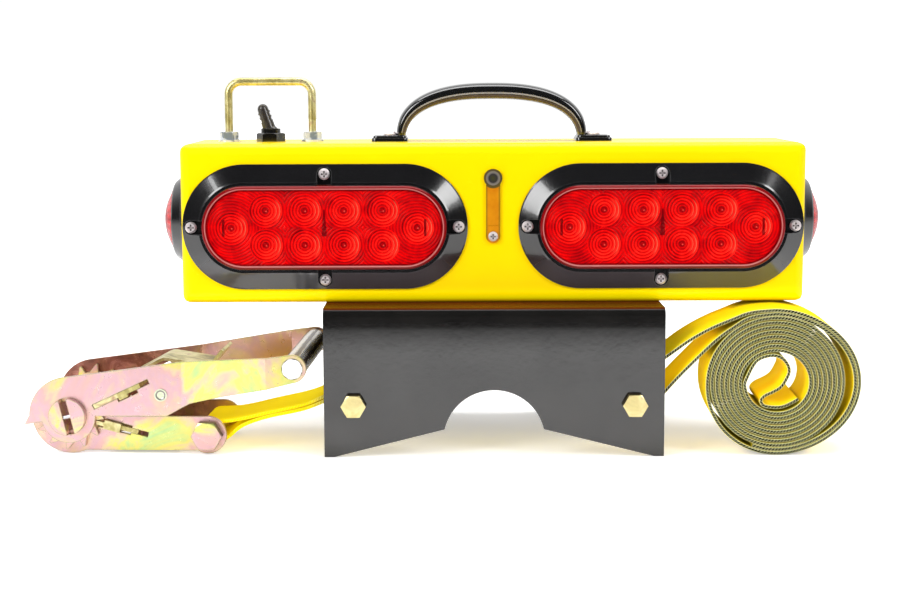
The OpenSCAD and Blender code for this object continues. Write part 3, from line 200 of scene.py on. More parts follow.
class Shader(Tree):
    """A material with one principled surface."""

    def __init__(self, name):
        self.mat = bpy.data.materials.new(name)
        self.mat.use_nodes = True
        super().__init__(self.mat.node_tree)
        self.tree.nodes.clear()
        self.surface = self.new("ShaderNodeBsdfPrincipled")
        self.put(self.new("ShaderNodeOutputMaterial").inputs[0], self.output(self.surface))
        self.coord = self.output(self.new("ShaderNodeTexCoord"), "Object")
        self.last_bump = None

    def base(self, color, rough, metal, **more):
        for key, value in dict(color=color, rough=rough, metal=metal, **more).items():
            self.put(self.surface.inputs[INPUTS[key]], value)

    def mapped(self, **settings):
        """Object coordinates, moved by Location or stretched by Scale."""
        node = self.new("ShaderNodeMapping")
        self.put(node.inputs[0], self.coord)
        for key, value in settings.items():
            self.put(node.inputs[key], value)
        return self.output(node)

    def noise(self, scale, detail=3.0, rough=0.5, distort=0.0, vector=None):
        node = self.new("ShaderNodeTexNoise")
        self.put(node.inputs["Vector"], vector or self.coord)
        self.put(node.inputs["Scale"], scale)
        self.put(node.inputs["Detail"], detail)
        self.put(node.inputs["Roughness"], rough)
        self.put(node.inputs["Distortion"], distort)
        return self.output(node, "Fac")

    def ramp(self, share, stops):
        """Stops are pairs of a place and a colour or a grey."""
        node = self.new("ShaderNodeValToRGB")
        self.put(node.inputs[0], share)
        elements = node.color_ramp.elements
        while len(elements) < len(stops):
            elements.new(0.5)
        for element, (at, tone) in zip(elements, stops):
            element.position = at
            element.color = tone if isinstance(tone, tuple) else (tone, tone, tone, 1)
        return self.output(node)

    def bump(self, height, distance, strength):
        """Relief in metres, on top of the relief that was added before."""
        node = self.new("ShaderNodeBump")
        self.put(node.inputs["Strength"], strength)
        self.put(node.inputs["Distance"], distance)
        self.put(node.inputs["Height"], height)
        if self.last_bump:
            self.put(node.inputs["Normal"], self.last_bump)
        self.last_bump = self.output(node)
        self.put(self.surface.inputs["Normal"], self.last_bump)

    def openness(self, distance, samples):
        """1 in the open, towards 0 where other surfaces are within the distance."""
        node = self.new("ShaderNodeAmbientOcclusion", samples=samples)
        self.put(node.inputs["Distance"], distance)
        return self.output(node, "AO")

    def edge_wear(self, radius):
        """1 on sharp edges, 0 elsewhere."""
        bevel = self.new("ShaderNodeBevel", samples=4)
        self.put(bevel.inputs["Radius"], radius)
        dot = self.new("ShaderNodeVectorMath", operation="DOT_PRODUCT")
        self.put(dot.inputs[0], self.output(bevel))
        self.put(dot.inputs[1], self.output(self.new("ShaderNodeNewGeometry"), "Normal"))
        return self.ramp(self.output(dot, "Value"), [(0.80, 1.0), (0.985, 0.0)])


def axes(s):
    """Object coordinates in millimetres."""
    return [part * TO_MM for part in s.split(s.coord)]


def normal(s):
    """The surface's normal."""
    return s.split(s.output(s.new("ShaderNodeNewGeometry"), "Normal"))


def length(a, b):
    return (a.sq() + b.sq()).sqrt()


def srgb(r, g, b):
    """A colour given as a picture shows it, from 0 to 255."""
    def linear(c):
        return c / 12.92 if c <= 0.04045 else ((c + 0.055) / 1.055) ** 2.4
    return (linear(r / 255), linear(g / 255), linear(b / 255), 1.0)


# materials of the bar
FLOOR_LIT = (BODY_BOTTOM - 1.0, BODY_BOTTOM + 14.0)  # heights of the housing that the floor lights
GRIP_UP = 6.0  # the handle's grip starts this far above the housing
GLOSS_RISE = (40.0, 76.0)  # heights between which the bracket's gloss grows
GLOSS_FADE = (56.0, 82.0)  # heights between which it fades below the housing


def yellow_shell():
    s = Shader("yellow_shell")
    broad = s.noise(9, 2)
    fine = s.noise(1400, 2, 0.6)
    color = s.mix(s.ramp(broad, [(0.35, 0.0), (0.65, 1.0)]), (0.97, 0.66, 0.0, 1), (0.97, 0.72, 0.0, 1))
    scuff = s.ramp(s.noise(60, 6, 0.7, 1.5), [(0.62, 0.0), (0.78, 1.0)])
    # painted glow: the lower front edge glows as if lit by the white floor, and the whole shell glows faintly
    low = axes(s)[2].ease(*FLOOR_LIT).flip() * (normal(s)[1] * -1.0).ease(0.5, 0.9)
    emit = s.mix(low, (1.0, 0.70, 0.0, 1), (0.8, 1.0, 0.0, 1))
    s.base(color, scuff * 0.12 + 0.26, 0.0, spec=0.35, spec_tint=(1.0, 0.93, 0.25, 1),
           coat=0.05, coat_rough=0.1, emit=emit, glow=low * 0.36 + 0.07)
    s.bump(fine, 0.00006, 0.35)
    s.bump(broad, 0.0004, 0.25)
    return s.mat


def black_plastic():
    """Glossy moulding with lower bevels painted paler, a painted reflection of the floor."""
    s = Shader("black_plastic")
    broad = s.noise(30, 4, 0.6)
    color = s.mix(broad, srgb(12, 12, 13), srgb(20, 20, 22))
    down = normal(s)[2] * -1.0
    color = s.mix(down.ease(0.2, 0.5) * 0.5, color, srgb(92, 92, 97))
    color = s.mix(s.edge_wear(0.0005) * 0.4, color, srgb(150, 150, 152))
    s.base(color, broad * 0.12 + 0.10, 0.0, spec=0.75, coat=0.6, coat_rough=0.04)
    s.bump(s.noise(900, 3, 0.6), 0.00005, 0.6)
    return s.mat


def handle_gloss():
    """Glossy grip with a painted highlight line along its edge; its inner side is painted browner as a
    painted reflection, and is duller.
    """
    s = Shader("handle_gloss")
    broad = s.noise(30, 4, 0.6)
    x, _, z = axes(s)
    nx, _, nz = normal(s)
    up = z - TOP
    inward = (nx * x + nz * up) / length(x, up).max(1.0) * -1.0
    grip = up.gt(GRIP_UP)
    color = s.mix(broad, srgb(12, 12, 13), srgb(20, 20, 22))
    color = s.mix(inward.ease(0.3, 0.6) * grip * 0.65, color, srgb(104, 92, 96))
    color = s.mix(inward.near(0.2, 0.1) * grip * 0.5, color, srgb(190, 184, 180))
    color = s.mix(s.edge_wear(0.0005) * 0.4, color, srgb(150, 150, 152))
    gloss = inward.ease(0.0, 0.5) * grip * -0.9 + 1.0
    s.base(color, broad * 0.12 + 0.08, 0.0, spec=gloss * 0.75, coat=gloss * 0.6, coat_rough=0.04)
    s.bump(s.noise(700, 3, 0.6), 0.00003, 0.6)
    return s.mat


def powder_coat():
    """Dusty black coat with a painted warm reflection on the channel's top, and with less gloss below the
    housing.
    """
    s = Shader("powder_coat")
    peel = s.noise(260, 2, 0.45)
    dust = s.ramp(s.noise(430, 8, 0.75, 0.6), [(0.69, 0.0), (0.76, 1.0)])
    smoke = s.noise(26, 4, 0.62, 0.6)
    black = s.mix(smoke, (0.004, 0.004, 0.004, 1), (0.013, 0.012, 0.011, 1))
    color = s.mix(dust, black, (0.07, 0.066, 0.06, 1))
    color = s.mix(s.edge_wear(0.0005) * 0.3, color, (0.2, 0.19, 0.17, 1))
    # painted reflection: faces that point up are painted warm brown, as if mirroring the yellow housing
    up = normal(s)[2].ease(0.75, 0.97)
    color = s.mix(up, color, (0.11, 0.024, 0.003, 1))
    height = axes(s)[2]
    shine = height.ease(*GLOSS_RISE) * 0.2 + smoke * 0.45 + 0.5
    side = up.flip() * (height.ease(*GLOSS_FADE) * -0.85 + 1.0)
    s.base(color, smoke * 0.14 + 0.10, 0.0, spec=side * 0.497 + 0.003, coat=side * shine.min(1.0),
           coat_rough=0.03, coat_ior=1.72, spec_tint=s.mix(up, (1, 1, 1, 1), (1.0, 0.6, 0.3, 1)))
    s.bump(peel, 0.0004, 0.34)
    return s.mat


# the oval lens, measured from its own middle
LAMP_X = 111.3
LAMP_Z = BODY_BOTTOM + 51.2
OPTIC_PITCH = 25.7  # between columns of optics
OPTIC_ROW = 22.7  # between their rows
OPTIC_R = 11.0
OPTIC_END = 61.2  # place of the optic at each end
RING_PITCH = 2.05
OUTER_ARC = 9.5  # radius of the lit step
INNER_ARC = 7.3
HOLE = (1.9, 3.4)  # the dark hole fades out between these radii
CORE_R = 1.7
GLINT_AT = (0.5, -0.4)  # from the diode's middle
GLINT_R = 0.55
WEDGE = (-5.5, 12.0)  # the dark wedge's lower and upper end
WEDGE_HALF = 1.35  # its half width in the lamp's middle
WEDGE_TAPER = 0.07
BAR_X = OPTIC_END + 5.2
BAR_W = 1.7
BAR_H = 11.0
RIM_X = 53.0  # where the round ends start
STEP_R = 24.0
LIP_R = 24.9
LIP_LINE_R = 25.5
LIP_LINE_W = 0.84
LIP_LOW = (-27.0, -20.0)  # between these heights the lip's lower stretch passes into the rest


def nearest_optic(x, beside, up):
    """Distance from the nearest optic's middle, and how far beside and above it."""
    column = (beside - OPTIC_PITCH).abs() - OPTIC_PITCH / 2
    row = up.abs() - OPTIC_ROW / 2
    from_inner = length(column, row)
    from_end = length(beside - OPTIC_END, up)
    inner = from_inner.lt(OPTIC_R) * beside.lt(2 * OPTIC_PITCH)
    outer = inner.flip()
    end_zone = beside.gt(OPTIC_PITCH * 1.5) * outer
    distance = from_inner * inner + outer * (from_end * end_zone + from_inner * end_zone.flip())
    along = x - x.sign() * LAMP_X
    in_column = ((along / OPTIC_PITCH).fract() - 0.5) * OPTIC_PITCH
    dx = in_column * inner + (along - along.sign() * OPTIC_END) * outer
    dz = up - up.sign() * inner * (OPTIC_ROW / 2)
    return distance, dx, dz


def optic_rings(s, distance):
    """Height of the lens's steps: deep in each optic, shallow between them."""
    wobble = s.noise(260, 2) * 0.2 + s.noise(70, 2) * 0.96
    saw = ((distance + wobble) / RING_PITCH).fract()
    step = saw.ease(0.0, 0.5) * saw.ease(0.66, 1.0).flip()
    inside = distance.lt(OPTIC_R)
    return step * inside + (step * 0.45 + 0.3) * inside.flip()


def optic_color(s, groove, distance, dx, dz):
    inside = distance.lt(OPTIC_R)
    # painted shade: each optic is shaded as a shallow bowl, brightest half way out, darker at its border and
    # centre, and lighter towards its right and lower side
    bowl_shade = (distance / OPTIC_R - 0.55).abs() * -0.34 + 0.26
    cloud = s.noise(95, 3, 0.6, 0.4)
    tone = groove * 0.40 + bowl_shade * inside + (dx * 0.014 - dz * 0.009) * inside + cloud * 0.8 - 0.19
    color = s.ramp(tone, [(0.12, (0.14, 0.0, 0.002, 1)), (0.34, (0.40, 0.001, 0.003, 1)),
                          (0.54, (0.66, 0.001, 0.002, 1)), (0.74, (0.86, 0.003, 0.003, 1)),
                          (0.92, (0.97, 0.018, 0.010, 1))])
    # arcs of light on the outer steps, right of each diode
    sweep = s.math("ARCTAN2", dz, dx).abs().ease(0.25, 0.95).flip() * inside
    arc = distance.near(OUTER_ARC, 0.32).max(distance.near(INNER_ARC, 0.22)) * sweep
    color = s.mix(arc * 0.5, color, (1.0, 0.20, 0.11, 1))
    # the diode: a dark hole, its core and a glint
    hole = distance.ease(*HOLE).flip()
    color = s.mix(hole * 0.62, color, (0.20, 0.0, 0.002, 1))
    color = s.mix(distance.lt(CORE_R) * 0.35, color, (0.34, 0.0, 0.003, 1))
    glint = length(dx - GLINT_AT[0], dz - GLINT_AT[1]).lt(GLINT_R)
    return s.mix(glint * 0.45, color, (1.0, 0.12, 0.08, 1))


def red_lens():
    """Ringed optics in front of ten diodes, dark moulded marks and a raised border, with painted shade,
    highlights and glow.
    """
    s = Shader("red_lens")
    x, _, z = axes(s)
    beside = (x.abs() - LAMP_X).abs()
    up = z - LAMP_Z
    distance, dx, dz = nearest_optic(x, beside, up)
    groove = optic_rings(s, distance)
    color = optic_color(s, groove, distance, dx, dz)
    wedge = beside.lt(up * -WEDGE_TAPER + WEDGE_HALF) * up.lt(WEDGE[1]) * up.gt(WEDGE[0])
    bar = beside.near(BAR_X, BAR_W / 2) * up.abs().lt(BAR_H / 2)
    color = s.mix(wedge.max(bar) * 0.82, color, (0.09, 0.0, 0.002, 1))
    # the border is a dark step, then the lip with a painted reflection, pinker on its lower stretch, and a
    # painted highlight line
    rim = length((beside - RIM_X).max(0.0), up)
    lip = rim.gt(LIP_R)
    step = rim.gt(STEP_R) * lip.flip()
    color = s.mix(step * 0.7, color, (0.10, 0.0, 0.002, 1))
    high = up.ease(*LIP_LOW)
    color = s.mix(lip * 0.9, color, s.mix(high, (0.13, 0.028, 0.026, 1), (0.16, 0.004, 0.006, 1)))
    line = rim.near(LIP_LINE_R, LIP_LINE_W / 2)
    color = s.mix(line * (high * -0.2 + 0.75), color, (0.62, 0.24, 0.22, 1))
    # painted glow: the lens glows faintly in its own colour
    s.base(color, 0.2, 0.0, spec=0.14, spec_tint=(1.0, 0.3, 0.22, 1), coat=lip * 0.35, coat_rough=0.04,
           ior=1.45, emit=color, glow=0.09)
    s.bump(groove * lip.flip(), 0.0009, 0.8)
    return s.mat


MARKER_Z = (BODY_BOTTOM + TOP) / 2
MARKER_RIBS = 24.0
MARKER_RING = 2.4  # from ring to ring
MARKER_BORDER = 14.0  # the ribs start at this radius


def marker_lens():
    """Round side lens with radial ribs and rings."""
    s = Shader("marker_lens")
    _, y, z = axes(s)
    up = z - MARKER_Z
    r = length(y, up)
    ribs = (s.math("ARCTAN2", up, y) * MARKER_RIBS).wave()
    rings = (r * (2 * math.pi / MARKER_RING)).wave()
    border = r.gt(MARKER_BORDER)
    tone = ribs * border * 0.3 + rings * 0.3 + s.noise(110, 3, 0.6) * 0.5
    color = s.ramp(tone, [(0.1, (0.30, 0.0, 0.006, 1)), (0.45, (0.75, 0.006, 0.012, 1)),
                          (0.8, (1.0, 0.05, 0.05, 1))])
    s.base(color, 0.12, 0.0, spec=0.5, coat=0.7, coat_rough=0.03, trans=0.2, ior=1.45)
    s.bump(ribs * border * 0.6 + rings, 0.0007, 0.6)
    return s.mat


def lamp_inside():
    s = Shader("lamp_reflector")
    spots = s.ramp(s.noise(70, 3, 0.6), [(0.4, 0.0), (0.7, 1.0)])
    s.base(s.mix(spots, srgb(196, 22, 26), srgb(236, 60, 60)), 0.35, 0.15)
    s.bump(s.noise(200, 2), 0.0004, 0.4)
    return s.mat


def rubber(name, color, rough, depth=0.0001, coat=0.0):
    s = Shader(name)
    grain = s.noise(500, 4, 0.6)
    paler = tuple(min(1, v * 1.7 + 0.004) for v in color[:3]) + (1,)
    color = s.mix(s.noise(60, 3), color, paler)
    s.base(color, grain * 0.18 + (rough - 0.1), 0.0, spec=0.4, coat=coat, coat_rough=0.14)
    s.bump(grain, depth, 0.5)
    return s.mat


FLAP_HEAD_Z = 170.0  # middle of the flap's round top
FLAP_HEAD_R = 6.7
FLAP_WEB = (3.2, 4.2)  # the web's sides turn darker between these
FLAP_LINE_Z = 133.5  # a darker line at the web's lower end
PLUG_R = 7.0
PLUG_RING_R = 4.3


def smoky():
    """Amber translucent rubber; the charge plug shows dark behind its round top."""
    s = Shader("smoky_rubber")
    x, _, z = axes(s)
    r = length(x, z - FLAP_HEAD_Z)
    cloud = s.noise(120, 4, 0.6)
    body = s.mix(s.ramp(cloud, [(0.35, 0.0), (0.65, 1.0)]), (0.62, 0.19, 0.001, 1), (0.72, 0.27, 0.004, 1))
    low_line = ((z - FLAP_LINE_Z).abs() + x.abs() * 0.2).ease(0.0, 3.0).flip()
    side = x.abs().ease(*FLAP_WEB).max(low_line * 0.5)
    body = s.mix(side * 0.8, body, (0.26, 0.15, 0.006, 1))
    plug = s.ramp(r / PLUG_R, [(0.0, (0.045, 0.045, 0.012, 1)), (0.40, (0.03, 0.027, 0.028, 1)),
                               (0.50, (0.14, 0.125, 0.11, 1)), (0.62, (0.20, 0.17, 0.13, 1)),
                               (0.72, (0.07, 0.055, 0.02, 1)), (0.95, (0.13, 0.085, 0.012, 1))])
    head = r.lt(FLAP_HEAD_R)
    s.base(s.mix(head, body, plug), 0.24, 0.0, spec=0.35, trans=head.flip() * 0.12, ior=1.42)
    s.bump(cloud + r.near(PLUG_RING_R, 0.5) * 2.0, 0.0002, 0.3)
    return s.mat


def board():
    s = Shader("circuit_board")
    wires = s.new("ShaderNodeTexBrick", offset=0.35)
    s.put(wires.inputs["Vector"], s.mapped(Scale=(220, 220, 220)))
    s.put(wires.inputs["Color1"], srgb(20, 96, 52))
    s.put(wires.inputs["Color2"], srgb(26, 112, 62))
    s.put(wires.inputs["Mortar"], srgb(64, 150, 86))
    s.put(wires.inputs["Mortar Size"], 0.04)
    s.base(s.output(wires, "Color"), 0.35, 0.0)
    s.bump(s.output(wires, "Fac"), 0.0001, 0.4)
    return s.mat


# metals
def zinc(name, light, dark, rough, scratch, metal, patches=0.0):
    s = Shader(name)
    cloud = s.noise(55, 4, 0.6, 0.4)
    line = s.noise(260, 5, 0.7, vector=s.mapped(Scale=(1, 1, 12)))
    color = s.mix(s.ramp(cloud, [(0.35, 0.0), (0.68, 1.0)]), light, dark)
    if patches:
        color = s.mix(s.noise(150, 2).ease(0.5, 0.6) * patches, color, srgb(96, 116, 140))
    color = s.mix(s.edge_wear(0.0004) * 0.5, color, srgb(236, 236, 234))
    s.base(color, line * 0.22 + (rough - 0.1), metal, aniso=0.25)
    s.bump(line, 0.00006, scratch)
    return s.mat


def screw_face():
    """Bright pan heads; the cross recess is painted dark inside as painted shade."""
    s = Shader("screw_steel")
    lit = s.openness(0.0011, 6).ease(0.45, 0.85)
    line = s.noise(260, 5, 0.7, vector=s.mapped(Scale=(1, 1, 12)))
    face = s.mix(s.noise(90, 3), srgb(246, 238, 238), srgb(206, 194, 196))
    color = s.mix(lit, srgb(52, 36, 34), face)
    s.base(color, line * 0.2 + 0.2, lit * 0.45, spec=lit * 0.5)
    s.bump(line, 0.00006, 0.5)
    return s.mat


# places on the ratchet: along the strap, and up from the ground
GRIP_AT = (-127.2, 62.5)
BORE_R = 6.3
RIVET_AT = (-217.8, 40.5)
RIVET_RING_R = 2.9
RIVET_RING_W = 0.84
RIVET_STEP = (1.9, 3.2)  # the head rises between these radii
BRONZE_AND_SHADE_X = -140.0  # the plates' inner sides are darkest here; the bronze tint and painted shade are weakest here and grow away from it


def strap_plane(s, place):
    """How far along the strap and up a point is from a place on the ratchet."""
    x, y, z = axes(s)
    yaw = math.radians(STRAP_YAW)
    along = x * math.cos(yaw) - (y - STRAP_Y) * math.sin(yaw)
    return along - place[0], z - GROUND - place[1]


def grip_steel():
    """Rolled steel grip with light and dark bands round it as painted reflections, lengthwise polishing
    streaks, and an open bore painted pale that glows as painted light.
    """
    s = Shader("tube_zinc")
    dx, dz = strap_plane(s, GRIP_AT)
    turn = s.math("ARCTAN2", dz, dx)
    streak = s.noise(5, 3, 0.7, vector=s.mapped(Scale=(140, 6, 140)))
    band = (turn * 7.0 + streak * 3.0).wave()
    color = s.ramp(band, [(0.15, srgb(96, 84, 74)), (0.4, srgb(206, 200, 190)), (0.75, srgb(246, 244, 240))])
    bore = length(dx, dz).lt(BORE_R)
    color = s.mix(bore, color, srgb(226, 222, 232))
    s.base(color, 0.24, 0.8, emit=(0.9, 0.88, 1.0, 1), glow=bore * 0.55)
    s.bump(streak, 0.00008, 0.6)
    return s.mat


def rivet_head():
    """Peened rivet: a ring pressed round a pale middle, with a dark ring of painted shade along it."""
    s = Shader("rivet_steel")
    r = length(*strap_plane(s, RIVET_AT))
    color = s.mix(s.noise(300, 3, 0.6), srgb(236, 232, 220), srgb(206, 224, 176))
    color = s.mix(r.near(RIVET_RING_R, RIVET_RING_W / 2) * 0.8, color, srgb(92, 78, 96))
    s.base(color, 0.28, 0.5)
    s.bump(r.ease(*RIVET_STEP), 0.0006, 0.7)
    return s.mat


def facets(s):
    """1 on the sides of a bolt head that points forward or back, 0 on its face; it masks the darkening
    painted on those sides.
    """
    return normal(s)[1].abs().lt(0.7)


def bronze_and_shade_inside(s, color, at):
    """Darkens the side that faces forward on the ratchet's rear plate with a bronze tint and painted shade.
    """
    x, y, _ = axes(s)
    behind = (y + x * math.tan(math.radians(STRAP_YAW))).gt(STRAP_Y)
    inner = behind * normal(s)[1].lt(-0.5)
    fade = (x - BRONZE_AND_SHADE_X).abs() * -0.012 + 1.25
    streak = s.noise(38, 5, 0.7, 1.5, vector=at)
    tint = s.ramp(streak, [(0.3, srgb(82, 40, 26)), (0.5, srgb(140, 84, 64)), (0.62, srgb(200, 140, 120)),
                           (0.75, srgb(120, 120, 60))])
    return s.mix(inner * (fade.max(0.0).min(1.0) * -0.8 + 0.92), color, tint)


def chromate(name, scale, offset, bronze_and_shade=False, sides=0.0):
    """Chromated zinc: pink, straw and green clouds over bright metal."""
    s = Shader(name)
    at = s.mapped(Location=offset)
    cloud = s.noise(scale, 4, 0.6, 0.8, vector=at)
    hue = s.ramp(cloud, [(0.28, srgb(196, 232, 160)), (0.38, srgb(246, 238, 132)),
                         (0.45, srgb(246, 218, 186)), (0.50, srgb(240, 196, 192)),
                         (0.57, srgb(236, 194, 206)), (0.66, srgb(244, 214, 180)),
                         (0.80, srgb(246, 228, 112))])
    fine = s.noise(scale * 11, 5, 0.7, vector=at)
    color = s.mix(fine * 0.28, hue, srgb(216, 196, 160), "MULTIPLY")
    color = s.mix(s.edge_wear(0.0015) * 0.6, color, srgb(190, 216, 112))
    color = s.mix(s.edge_wear(0.0006) * 0.85, color, srgb(96, 90, 48))
    # painted shade: the sides of the bolt head are darkened
    if sides:
        color = s.mix(facets(s) * sides, color, srgb(84, 76, 34))
    if bronze_and_shade:
        color = bronze_and_shade_inside(s, color, at)
    s.base(color, fine * 0.2 + 0.2, 0.78, coat=0.12, coat_rough=0.2)
    s.bump(fine, 0.0001, 0.5)
    return s.mat


def gold_zinc(name, sides=0.0):
    s = Shader(name)
    cloud = s.noise(70, 4, 0.6, 0.8)
    color = s.ramp(cloud, [(0.28, srgb(148, 136, 80)), (0.45, srgb(202, 190, 124)),
                           (0.58, srgb(236, 228, 172)), (0.7, srgb(200, 166, 130))])
    if sides:
        color = s.mix(0.6, color, s.mix(s.noise(38, 2), srgb(255, 246, 150), srgb(255, 226, 186)))
        # painted reflection: the sides of the bolt head are darkened as if mirroring the black bracket
        color = s.mix(facets(s) * sides, color, srgb(66, 48, 26))
    color = s.mix(s.edge_wear(0.0004) * 0.5, color, srgb(110, 92, 40))
    fine = s.noise(900, 4, 0.6)
    s.base(color, fine * 0.2 + 0.22, 0.72)
    s.bump(fine, 0.00008, 0.4)
    return s.mat


MATERIALS = {
    "yellow": yellow_shell(),
    "black": black_plastic(),
    "handle": handle_gloss(),
    "powder": powder_coat(),
    "lens": red_lens(),
    "marker": marker_lens(),
    "lamp": lamp_inside(),
    "zinc": zinc("bright_zinc", srgb(226, 230, 234), srgb(178, 186, 196), 0.26, 0.5, 0.7),
    "nut": zinc("nut_zinc", srgb(244, 247, 252), srgb(186, 198, 216), 0.2, 0.4, 0.35, 0.8),
    "screw": screw_face(),
    "tube": grip_steel(),
    "rivet": rivet_head(),
    "gold": gold_zinc("gold_zinc"),
    "bolt": gold_zinc("bolt_gold", 0.85),
    "handle_pink": chromate("pink_chromate", 20, (0, 0, 0), bronze_and_shade=True),
    "frame_pink": chromate("pink_chromate_frame", 24, (0.13, 0.4, 0.2), bronze_and_shade=True),
    "straw": chromate("straw_chromate", 40, (0.7, 0.1, 0.5)),
    "anchor": chromate("anchor_chromate", 40, (0.7, 0.1, 0.5), sides=0.75),
    "rubber": rubber("black_rubber", srgb(34, 30, 28), 0.42, 0.00006, 0.8),
    "smoky": smoky(),
    "board": board(),
    "case": rubber("battery_case", srgb(40, 41, 44), 0.45),
}

USES = {
    "yellow": ["housing", "back_cover"],
    "black": ["oval_lamp_flange_left", "oval_lamp_flange_right", "marker_flange_left", "marker_flange_right",
              "charge_jack", "switch_body", "switch_boot_nut"],
    "lamp": ["oval_lamp_base_left", "oval_lamp_base_right", "marker_base_left", "marker_base_right",
             "oval_led_board_left", "oval_led_board_right"],
    "handle": ["carry_handle"],
    "powder": ["saddle_bracket"],
    "lens": ["oval_lens_left", "oval_lens_right"],
    "marker": ["marker_lens_left", "marker_lens_right"],
    "nut": ["guard_nuts", "guard_washers"],
    "zinc": ["switch_lever", "battery_clamp", "bracket_bolts", "bracket_nuts",
             "cross_bolt_sleeves", "anchor_nut", "axle_pins", "frame_pawl_spring", "handle_pawl_spring"],
    "screw": ["back_cover_screws", "flange_screws_left", "flange_screws_right", "port_flap_screw",
              "handle_screws"],
    "rivet": ["handle_rivet"],
    "tube": ["grip_tube"],
    "gold": ["guard_hoop", "antenna", "cross_bolt_nuts", "frame_pawl", "handle_pawl"],
    "bolt": ["cross_bolts"],
    "straw": ["ratchet_wheels", "axle_halves"],
    "anchor": ["anchor_bolt"],
    "handle_pink": ["ratchet_handle"],
    "frame_pink": ["ratchet_frame"],
    "rubber": ["back_cover_gasket", "switch_boot"],
    "smoky": ["port_flap", "port_flap_root"],
    "board": ["receiver_board"],
    "case": ["battery_pack"],
}


def paint_nodes():
    for key, names in USES.items():
        for name in names:
            slots = NODES[name].data.materials
            slots.clear()
            slots.append(MATERIALS[key])


# meshes
SHARP_NODE = 32  # degrees from which an edge of a CAD part stays sharp


def smooth_nodes():
    for name, node in NODES.items():
        if node.type == "MESH" and name != "strap":
            smooth_faces(node.data, SHARP_NODE)


def smooth_faces(mesh, sharp_angle=None):
    for poly in mesh.polygons:
        poly.use_smooth = True
    if sharp_angle:
        mesh.set_sharp_from_angle(angle=math.radians(sharp_angle))


def add_rings(name, rings, mat, sharp_angle=None):
    """A closed body through rings of points, with its normals outwards."""
    sides = len(rings[0])
    last = (len(rings) - 1) * sides
    faces = [(i + k, i + (k + 1) % sides, i + sides + (k + 1) % sides, i + sides + k)
             for i in range(0, last, sides) for k in range(sides)]
    faces += [tuple(range(sides)), tuple(range(last, last + sides))]
    mesh = bpy.data.meshes.new(name)
    mesh.from_pydata([point for ring in rings for point in ring], [], faces)
    mesh.validate()
    bm = bmesh.new()
    bm.from_mesh(mesh)
    bmesh.ops.recalc_face_normals(bm, faces=bm.faces)
    bm.to_mesh(mesh)
    bm.free()
    smooth_faces(mesh, sharp_angle)
    mesh.materials.append(mat)
    piece = bpy.data.objects.new(name, mesh)
    bpy.context.scene.collection.objects.link(piece)
    return piece


def sind(a):
    return math.sin(math.radians(a))


def cosd(a):
    return math.cos(math.radians(a))


def power(value, exponent):
    """The power of the size, with the value's sign."""
    return math.copysign(abs(value) ** exponent, value)


def strap_place():
    """From the strap's own plane, with heights above the ground, to the scene."""
    turned = Matrix.Rotation(math.radians(-STRAP_YAW), 4, "Z")
    return Matrix.Translation((0, STRAP_Y * MM, GROUND * MM)) @ turned


# the strap's route: along the strap, and up from the ground
STRAP_W = 50.8
STRAP_T = 2.4
ROLL = (186.0, 48.0)  # the roll's middle
ROLL_R = 45.0
PITCH = 3.05  # from turn to turn
OVAL = 1.15  # the turns are this much flatter at the top and the bottom
BULGE = 6.5  # the loose outer turn stands off by this on its right
FULL = 270.0  # degrees from the top where the tight turns start
TURNS = 8
LAY = STRAP_T + 0.12  # from layer to layer where two lie together
FLOOR_R = ROLL[1] - STRAP_T / 2 - 0.05
TAIL_GAP = 0.3
CROSS_X = 92.0  # place of the cross bolts
CROSS_UP = 34.5
SLEEVE = 6.35  # radius
SLEEVE_GAP = 0.3
ARCH_R = 33.3
ARCH_GAP = 3.5
ANCHOR = (-188.5, 12.5)
ANCHOR_R = 6.0
ANCHOR_GAP = 0.25
FREE_R = 19.6  # radius of the eye that the free end's points were chosen in


def roll_point(a, r):
    return (ROLL[0] + r * sind(a), ROLL[1] + r * cosd(a))


def tight_r(a):
    return ROLL_R - PITCH * (a - FULL) / 360 - OVAL * cosd(a) ** 2


def loose_r(a):
    """The outer turn: two layers over the tight ones at the top, down to the floor, up to the tight turns."""
    top = tight_r(360) + 2 * LAY
    if a > FULL:
        return tight_r(a)
    if a > 180:
        return FLOOR_R + (tight_r(FULL) - FLOOR_R) * ((a - 180) / 90) ** 2
    return top + (FLOOR_R - top) * a / 180 + BULGE * sind(a) ** 3


def tail_r(a):
    return loose_r(a) - LAY - TAIL_GAP * max(0, sind(a))


def anchor_point(a):
    r = ANCHOR_R + STRAP_T / 2 + ANCHOR_GAP
    return (ANCHOR[0] + r * sind(a), ANCHOR[1] + r * cosd(a))


def curve(a, b, c, d, t):
    """A point between b and c on a smooth line through all four."""
    bend = 2 * a - 5 * b + 4 * c - d
    twist = 3 * b - a - 3 * c + d
    return 0.5 * (2 * b + (c - a) * t + bend * t * t + twist * t ** 3)


def smooth(points, parts):
    """A smooth line from the second point up to the one before the last."""
    line = []
    for i in range(1, len(points) - 2):
        four = points[i - 1 : i + 3]
        for k in range(parts):
            line.append(tuple(curve(*(p[j] for p in four), k / parts) for j in (0, 1)))
    return line


